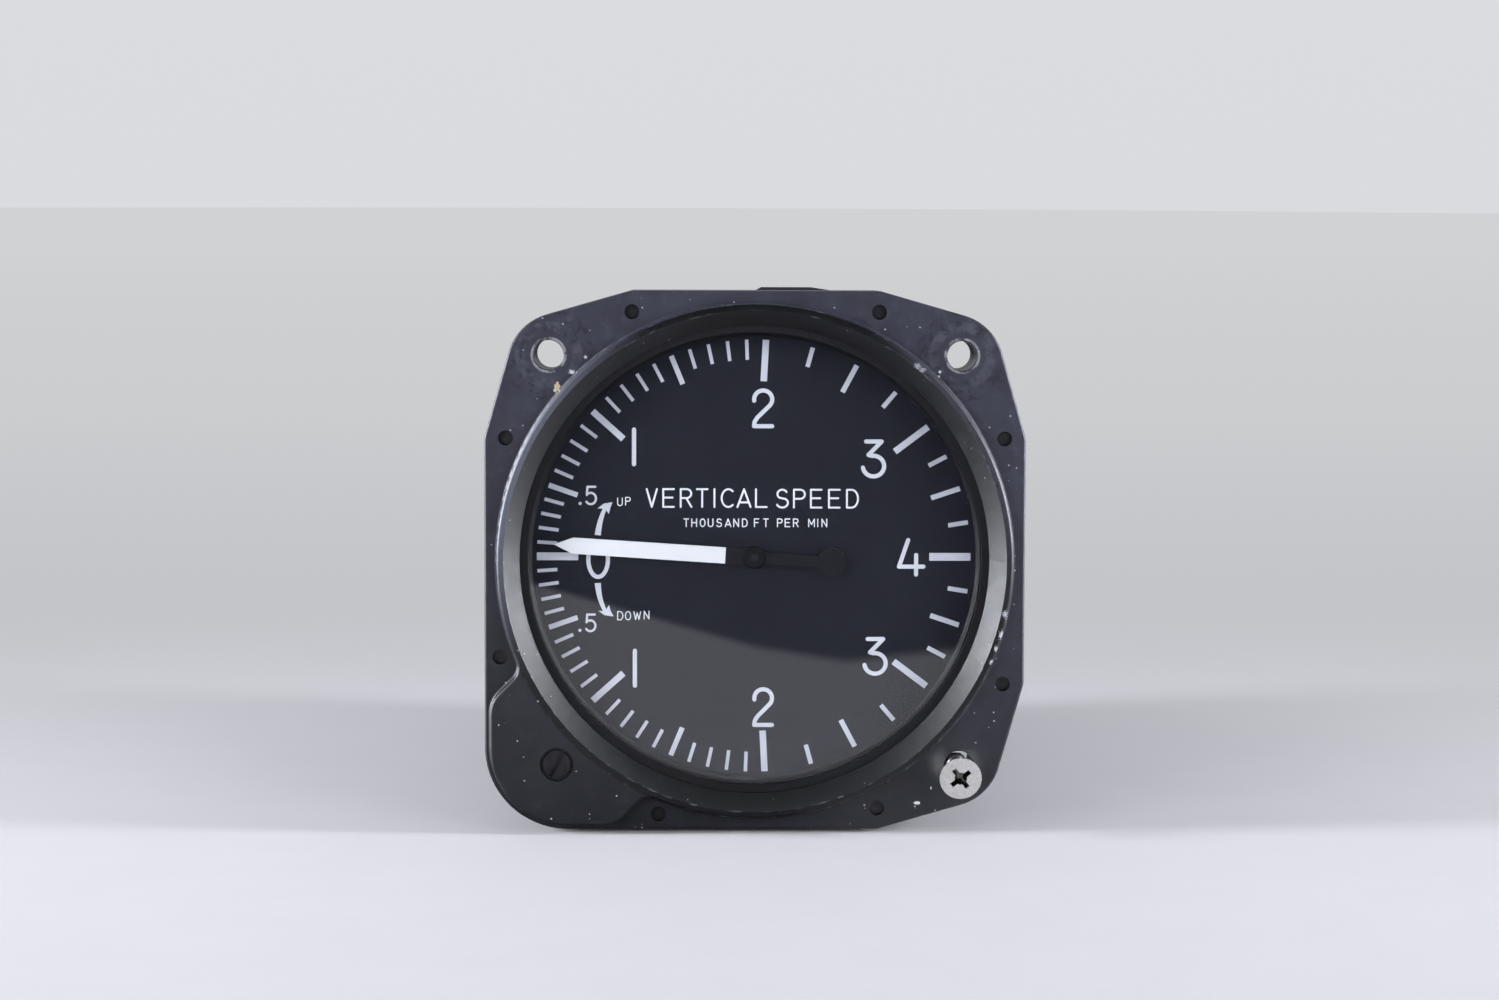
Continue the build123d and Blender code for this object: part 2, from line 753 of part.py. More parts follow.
# Case: flange, barrel, three inside lugs, the tab's pocket and the static port
with BuildPart() as case:
    with BuildSketch(station(case_front)):
        flange_outline()
    extrude(amount=-case_flange_thickness)
    fillet(case.faces().sort_by(Axis.Y)[-1].edges(), radius=edge_round)
    with BuildSketch(station(case_front + edge_pad_setback)):
        edge_pad_right = edge_pad_left + edge_pad_width
        edge_pad_foot = flange_half - edge_pad_rise
        with BuildLine():
            Polyline(
                (edge_pad_left, edge_pad_foot),
                (edge_pad_left, flange_half),
                (edge_pad_left + edge_pad_lead, flange_half + edge_pad_rise),
                (edge_pad_right - edge_pad_trail, flange_half + edge_pad_rise),
                (edge_pad_right, flange_half),
                (edge_pad_right, edge_pad_foot),
                close=True,
            )
        make_face()
    extrude(amount=-(case_flange_thickness - 2 * edge_pad_setback))
    with BuildSketch(station(case_front)):
        Circle(barrel_radius)
    extrude(amount=-(case_length - case_front))
    fillet(case.faces().sort_by(Axis.Y)[-1].edges(), radius=barrel_end_round)
    barrel_root = case.edges().filter_by(GeomType.CIRCLE).filter_by(
        lambda e: abs(e.radius - barrel_radius) < 0.001 and abs(e.center().Y - case_flange_back) < 0.001
    )
    fillet(barrel_root, radius=barrel_root_fillet)
    with BuildSketch(station(case_front)):
        pocket_outline(pocket_wall)
    extrude(amount=-(pocket_boss_back - case_front))
    with BuildSketch(station(case_inside_back)):
        Circle(port_boss_radius)
    extrude(amount=-(port_mouth - case_inside_back))
    cavity = [
        (0, case_front - 1),
        (stack_bore_radius, case_front - 1),
        (stack_bore_radius, dial_back),
        (case_bore_radius, dial_back),
        (case_bore_radius, case_inside_back),
        (0, case_inside_back),
    ]
    turned(cavity, mode=Mode.SUBTRACT)
    with BuildSketch(station(case_front)):
        pocket_outline()
    extrude(amount=-(pocket_back - case_front), mode=Mode.SUBTRACT)
    lug_outer = (case_bore_radius + barrel_radius) / 2
    with BuildSketch(station(lug_seat)):
        with PolarLocations((lug_inner_radius + lug_outer) / 2, lug_count, start_angle=lug_angle):
            RectangleRounded(lug_outer - lug_inner_radius, lug_width, lug_round)
    extrude(amount=-(case_inside_back - lug_seat))
    with BuildSketch(station(socket_front)):
        Circle(socket_radius)
    extrude(amount=-(case_inside_back - socket_front))
    lug_places = [polar(hold_down_circle, lug_angle + i * 360 / lug_count) for i in range(lug_count)]
    with Locations(*[front_site(p, lug_seat) for p in lug_places]):
        Hole(hold_down_screw[0] + tapped_clearance, depth=hold_down_length)
    with Locations(*[front_site(p, case_front) for p in mount_places]):
        Hole(mount_hole_radius, depth=case_flange_thickness)
    with Locations(*[front_site(p, case_front) for p in assembly_places]):
        Hole(assembly_screw[0] + clearance_gap, depth=case_flange_thickness)
    with Locations(front_site((zero_x, zero_z), pocket_back)):
        Hole(zero_pivot_radius + pivot_clearance, depth=zero_pivot_length + pivot_setback)
    with Locations(rear_site((0, 0), port_mouth)):
        CounterSinkHole(port_radius, port_radius + 3 * hole_rim, depth=port_depth)
    with Locations(rear_site((0, 0), port_bottom)):
        CounterBoreHole(
            tube_radius + tube_running_gap, filter_radius + filter_clearance, filter_seat_depth,
            depth=port_bottom - socket_front,
        )
    with Locations(front_site((0, 0), socket_front)):
        Hole(tube_radius + 2 * (tube_seal_section + seal_squeeze_gap), depth=tube_seal_seat_depth)

# Screws that join case and bezel, put in from the rear
with BuildPart() as assembly_screws:
    assembly_length = case_flange_back - recess_depth - stack_clearance
    for place in assembly_places:
        small_screw(place, case_flange_back, -1, assembly_screw, assembly_length)

# Zero-adjust screw: slotted head, seal groove, collar, shaft and rear pivot
zero_place = (zero_x, zero_z)
zero_head_front = zero_head_setback - ring_height
zero_collar_front = bezel_thickness - zero_collar_depth + stack_clearance
zero_collar_back = zero_collar_front + zero_collar_thickness
seal_groove_back = seal_groove_front + seal_groove_width
zero_shaft_back = pocket_back - pivot_setback
with BuildPart() as zero_adjust_screw:
    screw_profile = [
        (0, zero_head_front),
        (zero_head_radius, zero_head_front),
        (zero_head_radius, seal_groove_front),
        (seal_groove_radius, seal_groove_front),
        (seal_groove_radius, seal_groove_back),
        (zero_head_radius, seal_groove_back),
        (zero_head_radius, zero_collar_front),
        (zero_collar_radius, zero_collar_front),
        (zero_collar_radius, zero_collar_back),
        (zero_shaft_radius, zero_collar_back),
        (zero_shaft_radius, zero_shaft_back),
        (zero_pivot_radius, zero_shaft_back),
        (zero_pivot_radius, zero_shaft_back + zero_pivot_length),
        (0, zero_shaft_back + zero_pivot_length),
    ]
    turned(screw_profile, zero_place)
    with BuildSketch(front_site(zero_place, zero_head_front)):
        Rectangle(3 * zero_head_radius, zero_slot_width, rotation=zero_slot_angle)
    extrude(amount=-zero_slot_depth, mode=Mode.SUBTRACT)

with BuildPart() as screw_seal:
    screw_seal_section = (zero_head_radius + zero_bore_clearance - seal_groove_radius) / 2 - seal_squeeze_gap
    screw_seal_centre = seal_groove_radius + seal_squeeze_gap + screw_seal_section
    seal_lathe = Plane(origin=(zero_x, 0, zero_z), x_dir=(1, 0, 0), z_dir=(0, 0, 1))
    with BuildSketch(seal_lathe):
        with Locations((screw_seal_centre, (seal_groove_front + seal_groove_back) / 2)):
            Circle(screw_seal_section)
    revolve(axis=Axis((zero_x, 0, zero_z), (0, 1, 0)))

zero_pinion_tooth = tooth_face(
    zero_pinion_teeth, zero_module, pinion_addendum, pinion_dedendum, tooth_backlash
)
with BuildPart() as zero_pinion:
    with BuildSketch(aimed_site(zero_place, plate_front, (0, 0))):
        Circle(zero_pinion_pitch_radius - pinion_dedendum * zero_module)
        with PolarLocations(0, zero_pinion_teeth):
            add(zero_pinion_tooth)
        Circle(zero_shaft_radius + assembly_clearance, mode=Mode.SUBTRACT)
    extrude(amount=-plate_thickness)

# Movement plate: turns in the case bore, held by three screws through curved slots
tab_tooth = tooth_face(tab_gear_teeth, zero_module, wheel_addendum, wheel_dedendum, tooth_backlash)
slot_radius = hold_down_screw[0] + clearance_gap
slot_spread = zero_travel + math.degrees(clearance_gap / hold_down_circle)
train_places = [polar(train_pillar_circle, a) for a in train_pillar_angles]
sector_place = (sector_x, sector_z)
with BuildPart() as movement_plate:
    with BuildSketch(station(plate_front)):
        Circle(case_bore_radius - plate_running_gap)
        ring_sector(
            case_bore_radius - plate_thickness, tab_pitch_radius - wheel_dedendum * zero_module,
            zero_angle - tab_half_angle, zero_angle + tab_half_angle,
        )
        first_tooth = zero_angle - (tab_teeth - 1) / 2 * tab_pitch_angle
        with PolarLocations(0, tab_teeth, start_angle=first_tooth, angular_range=tab_teeth * tab_pitch_angle):
            add(tab_tooth)
        for start, end in window_spans:
            ring_sector(window_inner, window_outer, start, end, mode=Mode.SUBTRACT)
        for i in range(lug_count):
            middle = lug_angle + i * 360 / lug_count
            ring_sector(
                hold_down_circle - slot_radius, hold_down_circle + slot_radius,
                middle - slot_spread, middle + slot_spread, mode=Mode.SUBTRACT,
            )
            with PolarLocations(
                hold_down_circle, 2, start_angle=middle - slot_spread, angular_range=4 * slot_spread
            ):
                Circle(slot_radius, mode=Mode.SUBTRACT)
        with Locations((0, 0), sector_place):
            Circle(bush_radius + assembly_clearance, mode=Mode.SUBTRACT)
        with Locations(*train_places):
            Circle(train_screw[0] + clearance_gap, mode=Mode.SUBTRACT)
    extrude(amount=-plate_thickness)

with BuildPart() as hold_down_washers:
    for place in lug_places:
        ring(
            plate_front - tapped_clearance - washer_thickness, plate_front - tapped_clearance,
            washer_radius, hold_down_screw[0] + tapped_clearance, place,
        )

with BuildPart() as hold_down_screws:
    screw_seat = plate_front - tapped_clearance - washer_thickness
    for place in lug_places:
        small_screw(place, screw_seat, 1, hold_down_screw, hold_down_length)

# Rear plate of the train, and the pillars and screws that hold it
frame_places = [polar(frame_pillar_circle, frame_pillar_angle + i * 120) for i in range(3)]
bracket_screw_places = [
    (bracket_left - bracket_thickness - bracket_foot_length / 2, rocker_z),
    (bracket_right + bracket_thickness + bracket_foot_length / 2, rocker_z),
]
with BuildPart() as rear_plate:
    with BuildSketch(station(rear_plate_front)):
        Circle(rear_plate_radius)
        with Locations((drive_arm_x, rocker_z)):
            RectangleRounded(arm_slot_width, arm_slot_height, arm_slot_width / 3, mode=Mode.SUBTRACT)
        with Locations((0, 0), sector_place):
            Circle(bush_radius + assembly_clearance, mode=Mode.SUBTRACT)
        with Locations(*train_places):
            Circle(train_screw[0] + clearance_gap, mode=Mode.SUBTRACT)
        with Locations(*frame_places):
            Circle(frame_screw[0] + clearance_gap, mode=Mode.SUBTRACT)
        with Locations(*bracket_screw_places):
            Circle(train_screw[0] + tapped_clearance, mode=Mode.SUBTRACT)
        with Locations((0, lightening_hole_circle), (0, -lightening_hole_circle)):
            Circle(lightening_hole_radius, mode=Mode.SUBTRACT)
    extrude(amount=-rear_plate_thickness)

with BuildPart() as train_pillars:
    for place in train_places:
        ring(plate_back, rear_plate_front, train_pillar_radius, train_screw[0] + tapped_clearance, place)

with BuildPart() as train_screws:
    for place in train_places:
        small_screw(place, plate_front, 1, train_screw, small_screw_length)
        small_screw(place, rear_plate_back, -1, train_screw, small_screw_length)

# Pointer staff with its pinion, and its bushes in the two plates
staff_pinion_tooth = tooth_face(
    staff_pinion_teeth, train_module, pinion_addendum, pinion_dedendum, train_backlash
)
pinion_front = plate_back + staff_pinion_front
pinion_back = pinion_front + staff_pinion_length
with BuildPart() as pointer_staff:
    staff_profile = [
        (0, hub_front),
        (staff_seat_radius, hub_front),
        (staff_seat_radius, hub_back),
        (staff_radius, hub_back),
        (staff_radius, rear_plate_front - pivot_setback),
        (staff_rear_radius, rear_plate_front - pivot_setback),
        (staff_rear_radius, rear_plate_back - pivot_setback),
        (0, rear_plate_back - pivot_setback),
    ]
    turned(staff_profile)
    with BuildSketch(aimed_site((0, 0), pinion_front, sector_place)):
        Circle(staff_pitch_radius - pinion_dedendum * train_module)
        with PolarLocations(0, staff_pinion_teeth):
            add(staff_pinion_tooth)
    extrude(amount=-staff_pinion_length)

with BuildPart() as staff_bushes:
    ring(plate_front, plate_back, bush_radius, staff_radius + pivot_clearance)
    ring(rear_plate_front, rear_plate_back, bush_radius, staff_rear_radius + pivot_clearance)

# Hairspring on its collet, with its outer end at a stud on the rear plate
spring_depth = plate_back + spring_front
spring_inner_radius = collet_radius + spring_thickness / 2
spring_pitch = (spring_outer_radius - spring_inner_radius) / spring_turns


def spring_face(side):
    """One face of the spiral: half turns about the staff, and half turns about a centre half a pitch away."""
    for i in range(spring_turns):
        radius = spring_inner_radius + i * spring_pitch + side * spring_thickness / 2
        CenterArc((0, 0), radius, 0, 180)
        CenterArc((spring_pitch / 2, 0), radius + spring_pitch / 2, 180, 180)


with BuildPart() as hairspring:
    with BuildSketch(station(spring_depth)) as coil:
        with BuildLine() as faces:
            spring_face(1)
            spring_face(-1)
            for end in (spring_inner_radius, spring_outer_radius):
                Line((end - spring_thickness / 2, 0), (end + spring_thickness / 2, 0))
        make_face(faces.edges())
    extrude(coil.sketch, amount=-spring_height)

with BuildPart() as hairspring_collet:
    collet_front = spring_depth + spring_height / 2 - collet_length / 2
    ring(collet_front, collet_front + collet_length, collet_radius, staff_radius + assembly_clearance)

with BuildPart() as hairspring_stud:
    stud_place = (spring_outer_radius + spring_thickness / 2 + stud_radius, 0)
    with BuildSketch(front_site(stud_place, spring_depth)):
        Circle(stud_radius)
    extrude(amount=-(rear_plate_front - spring_depth))

# Sector gear: toothed rim on three spokes, with a counterweight on its tail
sector_tooth = tooth_face(
    sector_gear_teeth, train_module, wheel_addendum, wheel_dedendum, train_backlash
)
sector_depth = plate_back + sector_front
sector_root_radius = sector_pitch_radius - wheel_dedendum * train_module
sector_half_angle = sector_teeth / 2 * sector_pitch_angle
pin_angle = -math.degrees(math.atan2(sector_z, sector_x))
with BuildPart() as sector_gear:
    with BuildSketch(aimed_site(sector_place, sector_depth, (0, 0))):
        ring_sector(arbor_radius, sector_root_radius, -sector_half_angle, sector_half_angle)
        for side in (0, 1):
            start = sector_spoke_angle if side else sector_spoke_angle - sector_half_angle
            end = sector_half_angle - sector_spoke_angle if side else -sector_spoke_angle
            ring_sector(
                sector_web_radius, sector_root_radius - sector_rim_width, start, end, mode=Mode.SUBTRACT
            )
        first_tooth = -(sector_teeth - 1) / 2 * sector_pitch_angle
        with PolarLocations(
            0, sector_teeth, start_angle=first_tooth, angular_range=sector_teeth * sector_pitch_angle
        ):
            add(sector_tooth)
        Circle(sector_hub_radius)
        with Locations((-sector_tail_length / 2, 0)):
            Rectangle(sector_tail_length, sector_tail_width)
        with Locations((-sector_tail_length, 0)):
            Circle(counterweight_radius)
        Circle(arbor_radius + assembly_clearance, mode=Mode.SUBTRACT)
        with Locations(polar(drive_pin_offset, pin_angle)):
            Circle(drive_pin_radius + assembly_clearance, mode=Mode.SUBTRACT)
    extrude(amount=-sector_thickness)
    with BuildSketch(aimed_site(sector_place, sector_depth - counterweight_front, (0, 0))):
        with Locations((-sector_tail_length, 0)):
            Circle(counterweight_radius)
    extrude(amount=-(counterweight_front + sector_thickness + counterweight_rear))

with BuildPart() as sector_arbor:
    arbor_profile = [
        (0, plate_front + pivot_setback),
        (pivot_radius, plate_front + pivot_setback),
        (pivot_radius, plate_back + pivot_setback),
        (arbor_radius, plate_back + pivot_setback),
        (arbor_radius, rear_plate_front - pivot_setback),
        (pivot_radius, rear_plate_front - pivot_setback),
        (pivot_radius, rear_plate_back - pivot_setback),
        (0, rear_plate_back - pivot_setback),
    ]
    turned(arbor_profile, sector_place)

with BuildPart() as sector_bushes:
    ring(plate_front, plate_back, bush_radius, pivot_radius + pivot_clearance, sector_place)
    ring(rear_plate_front, rear_plate_back, bush_radius, pivot_radius + pivot_clearance, sector_place)

with BuildPart() as drive_pin:
    pin_place = (drive_x, sector_z)
    with BuildSketch(front_site(pin_place, sector_depth)):
        Circle(drive_pin_radius)
    extrude(amount=-(sector_thickness + drive_pin_length))

# Brackets of the rocking shaft: an ear and a foot bent from one strip, left and right
with BuildPart() as rocker_brackets:
    for inner, way in ((bracket_left, -1), (bracket_right, 1)):
        with BuildSketch(Plane(origin=(inner, 0, 0), x_dir=(0, 1, 0), z_dir=(1, 0, 0))):
            ear_middle = (rear_plate_back + rocker_depth) / 2
            with Locations((ear_middle, rocker_z)):
                Rectangle(rocker_depth - rear_plate_back, 2 * bracket_half_width)
            with Locations((rocker_depth, rocker_z)):
                Circle(bracket_half_width)
                Circle(rocker_pivot_radius + pivot_clearance, mode=Mode.SUBTRACT)
        extrude(amount=way * bracket_thickness)
        foot_middle = inner + way * (bracket_thickness + bracket_foot_length) / 2
        with BuildSketch(station(rear_plate_back)):
            with Locations((foot_middle, rocker_z)):
                Rectangle(bracket_thickness + bracket_foot_length, 2 * bracket_half_width)
        extrude(amount=-bracket_thickness)
    with Locations(*[rear_site(p, rear_plate_back + bracket_thickness) for p in bracket_screw_places]):
        Hole(train_screw[0] + clearance_gap, depth=bracket_thickness)

with BuildPart() as bracket_screws:
    for place in bracket_screw_places:
        small_screw(
            place, rear_plate_back + bracket_thickness, -1, train_screw,
            bracket_thickness + rear_plate_thickness,
        )

# Rocking shaft and its arms
with BuildPart() as rocking_shaft:
    shaft_profile = [
        (0, bracket_left - bracket_thickness),
        (rocker_pivot_radius, bracket_left - bracket_thickness),
        (rocker_pivot_radius, bracket_left + pivot_setback),
        (rocker_radius, bracket_left + pivot_setback),
        (rocker_radius, bracket_right - pivot_setback),
        (rocker_pivot_radius, bracket_right - pivot_setback),
        (rocker_pivot_radius, bracket_right + bracket_thickness),
        (0, bracket_right + bracket_thickness),
    ]
    cross_turned(shaft_profile, rocker_depth, rocker_z)


def side_site(x):
    """A plane across the instrument at an X, whose local X is depth and whose local Y is height."""
    return Plane(origin=(x, 0, 0), x_dir=(0, 1, 0), z_dir=(1, 0, 0))


def arm(middle, tip, tip_radius):
    """A tapered flat arm with a hub on the rocking shaft, reaching to a (depth, z) tip."""
    reach = math.hypot(tip[0] - rocker_depth, tip[1] - rocker_z)
    heading = math.degrees(math.atan2(tip[1] - rocker_z, tip[0] - rocker_depth))
    lean = math.degrees(math.acos((arm_hub_radius - tip_radius) / reach))
    edges = []
    for side in (1, -1):
        near = polar(arm_hub_radius, heading + side * lean)
        far = polar(tip_radius, heading + side * lean)
        edges.append([(rocker_depth + near[0], rocker_z + near[1]), (tip[0] + far[0], tip[1] + far[1])])
    with BuildSketch(side_site(middle - arm_thickness / 2)) as web:
        with BuildLine():
            Polyline(edges[0][0], edges[0][1], edges[1][1], edges[1][0], close=True)
        make_face()
        with Locations((rocker_depth, rocker_z)):
            Circle(arm_hub_radius)
        with Locations(tip):
            Circle(tip_radius)
    extrude(web.sketch, amount=arm_thickness)
    with BuildSketch(side_site(middle - arm_hub_length / 2)) as hub:
        with Locations((rocker_depth, rocker_z)):
            Circle(arm_hub_radius)
    extrude(hub.sketch, amount=arm_hub_length)
    with BuildSketch(side_site(middle - arm_hub_length)) as seat:
        with Locations((rocker_depth, rocker_z)):
            Circle(rocker_radius + assembly_clearance)
    extrude(seat.sketch, amount=2 * arm_hub_length, mode=Mode.SUBTRACT)


drive_tip = (rocker_depth - drive_arm_length, rocker_z - 2 * drive_pin_radius - drive_gap)
with BuildPart() as drive_arm:
    arm(drive_arm_x, drive_tip, drive_arm_tip_radius)
    bar_profile = [
        (0, drive_arm_x),
        (drive_pin_radius, drive_arm_x),
        (drive_pin_radius, drive_x + drive_bar_overhang),
        (0, drive_x + drive_bar_overhang),
    ]
    cross_turned(bar_profile, *drive_tip)

with BuildPart() as capsule_arm:
    arm(0, (rocker_depth, 0), capsule_arm_tip_radius)
    link_pin_half = arm_thickness / 2 + link_ear_gap + link_ear_thickness
    link_pin_profile = [
        (0, -link_pin_half),
        (link_pin_radius, -link_pin_half),
        (link_pin_radius, link_pin_half),
        (0, link_pin_half),
    ]
    cross_turned(link_pin_profile, rocker_depth, 0)

# Link: a fork round the capsule arm, on a rod that screws into the capsule's boss
with BuildPart() as capsule_link:
    fork_inner = arm_thickness / 2 + link_ear_gap
    fork_outer = fork_inner + link_ear_thickness
    fork_front = rocker_depth - link_ear_reach
    fork_back = rocker_depth + link_block_end
    with BuildSketch(station(fork_front)):
        Rectangle(2 * fork_outer, 2 * link_half_height)
    extrude(amount=-(fork_back - fork_front))
    with BuildSketch(station(fork_front)):
        Rectangle(2 * fork_inner, 3 * link_half_height)
    extrude(amount=-(rocker_depth + link_block_start - fork_front), mode=Mode.SUBTRACT)
    with BuildSketch(Plane(origin=(-2 * fork_outer, 0, 0), x_dir=(0, 1, 0), z_dir=(1, 0, 0))):
        eye = link_pin_radius + link_eye_clearance
        with Locations((rocker_depth, link_eye_rise / 2)):
            SlotCenterToCenter(link_eye_rise, 2 * eye, rotation=90)
    extrude(amount=4 * fork_outer, mode=Mode.SUBTRACT)
    with BuildSketch(station(fork_back)):
        Circle(link_rod_radius)
    extrude(amount=-(rocker_depth + link_length - fork_back))


def diaphragm(side, inset):
    """Points along one corrugated face, from the boss out to the rim. Side is -1 in front, 1 behind."""
    steps = 2 * capsule_ripples
    points = []
    for i in range(steps + 1):
        share = i / steps
        radius = capsule_boss_radius + share * (capsule_radius - inset - capsule_boss_radius)
        depth = capsule_half_depth + share * (capsule_rim_half - capsule_half_depth)
        ripple = 0 if i in (0, steps) else capsule_ripple * (1 if i % 2 else -1)
        points.append((radius, capsule_middle + side * (depth + ripple - inset)))
    return points


# Capsule: thin corrugated shell, with a front boss for the link and a rear stem through its plate
with BuildPart() as capsule:
    rod_bore = link_rod_radius + assembly_clearance
    rod_bottom = rocker_depth + link_length + assembly_clearance
    stem_bore = tube_radius + assembly_clearance
    stem_socket = stem_back - stem_socket_depth
    outer_face = diaphragm(-1, 0) + diaphragm(1, 0)[::-1]
    inner_face = diaphragm(1, capsule_wall)[:-1]
    inner_face += [(capsule_radius - 2 * capsule_wall, capsule_middle)]
    inner_face += diaphragm(-1, capsule_wall)[:-1][::-1]
    capsule_profile = [
        (0, rod_bottom),
        (rod_bore, rod_bottom),
        (rod_bore, capsule_boss_front),
        (capsule_boss_radius, capsule_boss_front),
        *outer_face,
        (capsule_seat_radius, capsule_back),
        (capsule_seat_radius, capsule_plate_front),
        (capsule_boss_radius, capsule_plate_front),
        (capsule_boss_radius, stem_back),
        (stem_bore, stem_back),
        (stem_bore, stem_socket),
        (capsule_passage_radius, stem_socket),
        (capsule_passage_radius, capsule_back - capsule_wall),
        *inner_face,
        (0, capsule_front + capsule_wall),
    ]
    turned(capsule_profile)

# Frame of the capsule: plate, pillars, screws and the nut on the capsule's stem
with BuildPart() as capsule_plate:
    with BuildSketch(station(capsule_plate_front)):
        Circle(capsule_plate_radius)
        Circle(capsule_boss_radius + assembly_clearance, mode=Mode.SUBTRACT)
        with Locations(*frame_places):
            Circle(frame_screw[0] + clearance_gap, mode=Mode.SUBTRACT)
        with PolarLocations(lightening_hole_circle, 6):
            Circle(lightening_hole_radius, mode=Mode.SUBTRACT)
    extrude(amount=-capsule_plate_thickness)

with BuildPart() as frame_pillars:
    frame_bore = frame_screw[0] + tapped_clearance
    for place in frame_places:
        ring(rear_plate_back, capsule_plate_front, frame_pillar_radius, frame_bore, place)

with BuildPart() as frame_screws:
    for place in frame_places:
        small_screw(place, rear_plate_front, 1, frame_screw, small_screw_length)
        small_screw(place, capsule_plate_back, -1, frame_screw, small_screw_length)

with BuildPart() as capsule_nut:
    with BuildSketch(station(capsule_plate_back)):
        RegularPolygon(nut_radius, 6)
        Circle(capsule_boss_radius + assembly_clearance, mode=Mode.SUBTRACT)
    extrude(amount=-nut_thickness)

# Inlet tube from the static port to the capsule, with the calibrated leak into the case on it
with BuildPart() as inlet_tube:
    ring(stem_socket + assembly_clearance, tube_back, tube_radius, capsule_passage_radius)

with BuildPart() as leak_housing:
    with BuildSketch(station(leak_front)):
        Circle(leak_radius)
        Circle(tube_radius + assembly_clearance, mode=Mode.SUBTRACT)
    extrude(amount=-leak_length)
    chamber = [
        (leak_chamber_inner, leak_front + leak_wall),
        (leak_radius - leak_wall, leak_front + leak_wall),
        (leak_radius - leak_wall, leak_back - leak_wall),
        (leak_chamber_inner, leak_back - leak_wall),
    ]
    turned(chamber, mode=Mode.SUBTRACT)
    with BuildSketch(station(leak_back)):
        with PolarLocations(leak_plug_circle, 2):
            Circle(leak_plug_radius)
    extrude(amount=2 * leak_wall, mode=Mode.SUBTRACT)

with BuildPart() as leak_plugs:
    with BuildSketch(station(leak_back)):
        with PolarLocations(leak_plug_circle, 2):
            Circle(leak_plug_radius - assembly_clearance)
    extrude(amount=leak_wall)

with BuildPart() as tube_seal:
    tube_seal_centre = tube_radius + seal_squeeze_gap + tube_seal_section
    with BuildSketch(Plane.XY):
        with Locations((tube_seal_centre, socket_front + tube_seal_seat_depth / 2)):
            Circle(tube_seal_section)
    revolve(axis=Axis.Y)

with BuildPart() as inlet_filter:
    with BuildSketch(station(filter_front)):
        Circle(filter_radius)
    extrude(amount=-filter_thickness)

# Loose mounting screw, cut to the root of its thread: its shank rests on one side of the hole's mouth,
# and its tip further round the hole inside
lean_x, lean_z = polar(mount_hole_radius - loose_screw_radius - loose_screw_gap, loose_mouth_side)
tip_x, tip_z = polar(mount_hole_radius - loose_screw_radius - loose_screw_gap, loose_tip_side)
tip_depth = loose_screw_length - loose_screw_proud
outward = Vector((lean_x - tip_x) / tip_depth, -1, (lean_z - tip_z) / tip_depth).normalized()
across = Vector(0, 0, 1).cross(outward).normalized()
screw_top = Vector(mount_half + lean_x, 0, lean_z - mount_half) + outward * loose_screw_proud
cone_height = (loose_head_radius - loose_screw_radius) / math.tan(math.radians(loose_head_angle / 2))
with BuildPart() as mounting_screw:
    with BuildSketch(Plane(origin=screw_top, x_dir=across, z_dir=across.cross(outward))):
        with BuildLine():
            Polyline(
                (0, 0),
                (loose_head_radius, 0),
                (loose_head_radius, -loose_head_rim),
                (loose_screw_radius, -loose_head_rim - cone_height),
                (loose_root_radius, -loose_head_rim - cone_height - loose_screw_lead),
                (loose_root_radius, -loose_screw_length + loose_screw_lead),
                (loose_root_radius - loose_screw_lead, -loose_screw_length),
                (0, -loose_screw_length),
                close=True,
            )
        make_face()
    revolve(axis=Axis(screw_top, outward))
    with BuildSketch(Plane(origin=screw_top, x_dir=across, z_dir=outward)):
        Rectangle(cross_recess_span, cross_recess_width, rotation=cross_recess_angle)
        Rectangle(cross_recess_width, cross_recess_span, rotation=cross_recess_angle)
    extrude(amount=-cross_recess_depth, taper=cross_recess_taper, mode=Mode.SUBTRACT)
    with BuildSketch(Plane(origin=screw_top, x_dir=across, z_dir=outward)):
        Circle(cross_recess_core)
    extrude(amount=-cross_recess_depth, taper=2 * cross_recess_taper, mode=Mode.SUBTRACT)

pieces = {
    "bezel": bezel,
    "flange_gasket": flange_gasket,
    "glass_gasket": glass_gasket,
    "cover_glass": cover_glass,
    "spacer_ring": spacer_ring,
    "dial": dial,
    "dial_graduations": dial_graduations,
    "pointer": pointer,
    "pointer_poise": pointer_poise,
    "pointer_hub": pointer_hub,
    "case": case,
    "assembly_screws": assembly_screws,
    "zero_adjust_screw": zero_adjust_screw,
    "screw_seal": screw_seal,
    "zero_pinion": zero_pinion,
    "movement_plate": movement_plate,
    "hold_down_washers": hold_down_washers,
    "hold_down_screws": hold_down_screws,
    "rear_plate": rear_plate,
    "train_pillars": train_pillars,
    "train_screws": train_screws,
    "pointer_staff": pointer_staff,
    "staff_bushes": staff_bushes,
    "hairspring": hairspring,
    "hairspring_collet": hairspring_collet,
    "hairspring_stud": hairspring_stud,
    "sector_gear": sector_gear,
    "sector_arbor": sector_arbor,
    "sector_bushes": sector_bushes,
    "drive_pin": drive_pin,
    "rocker_brackets": rocker_brackets,
    "bracket_screws": bracket_screws,
    "rocking_shaft": rocking_shaft,
    "drive_arm": drive_arm,
    "capsule_arm": capsule_arm,
    "capsule_link": capsule_link,
    "capsule": capsule,
    "capsule_plate": capsule_plate,
    "frame_pillars": frame_pillars,
    "frame_screws": frame_screws,
    "capsule_nut": capsule_nut,
    "inlet_tube": inlet_tube,
    "leak_housing": leak_housing,
    "leak_plugs": leak_plugs,
    "tube_seal": tube_seal,
    "inlet_filter": inlet_filter,
    "mounting_screw": mounting_screw,
}

os.makedirs("parts", exist_ok=True)
for name, piece in pieces.items():
    piece.part.label = name
    export_step(piece.part, f"parts/{name}.step")
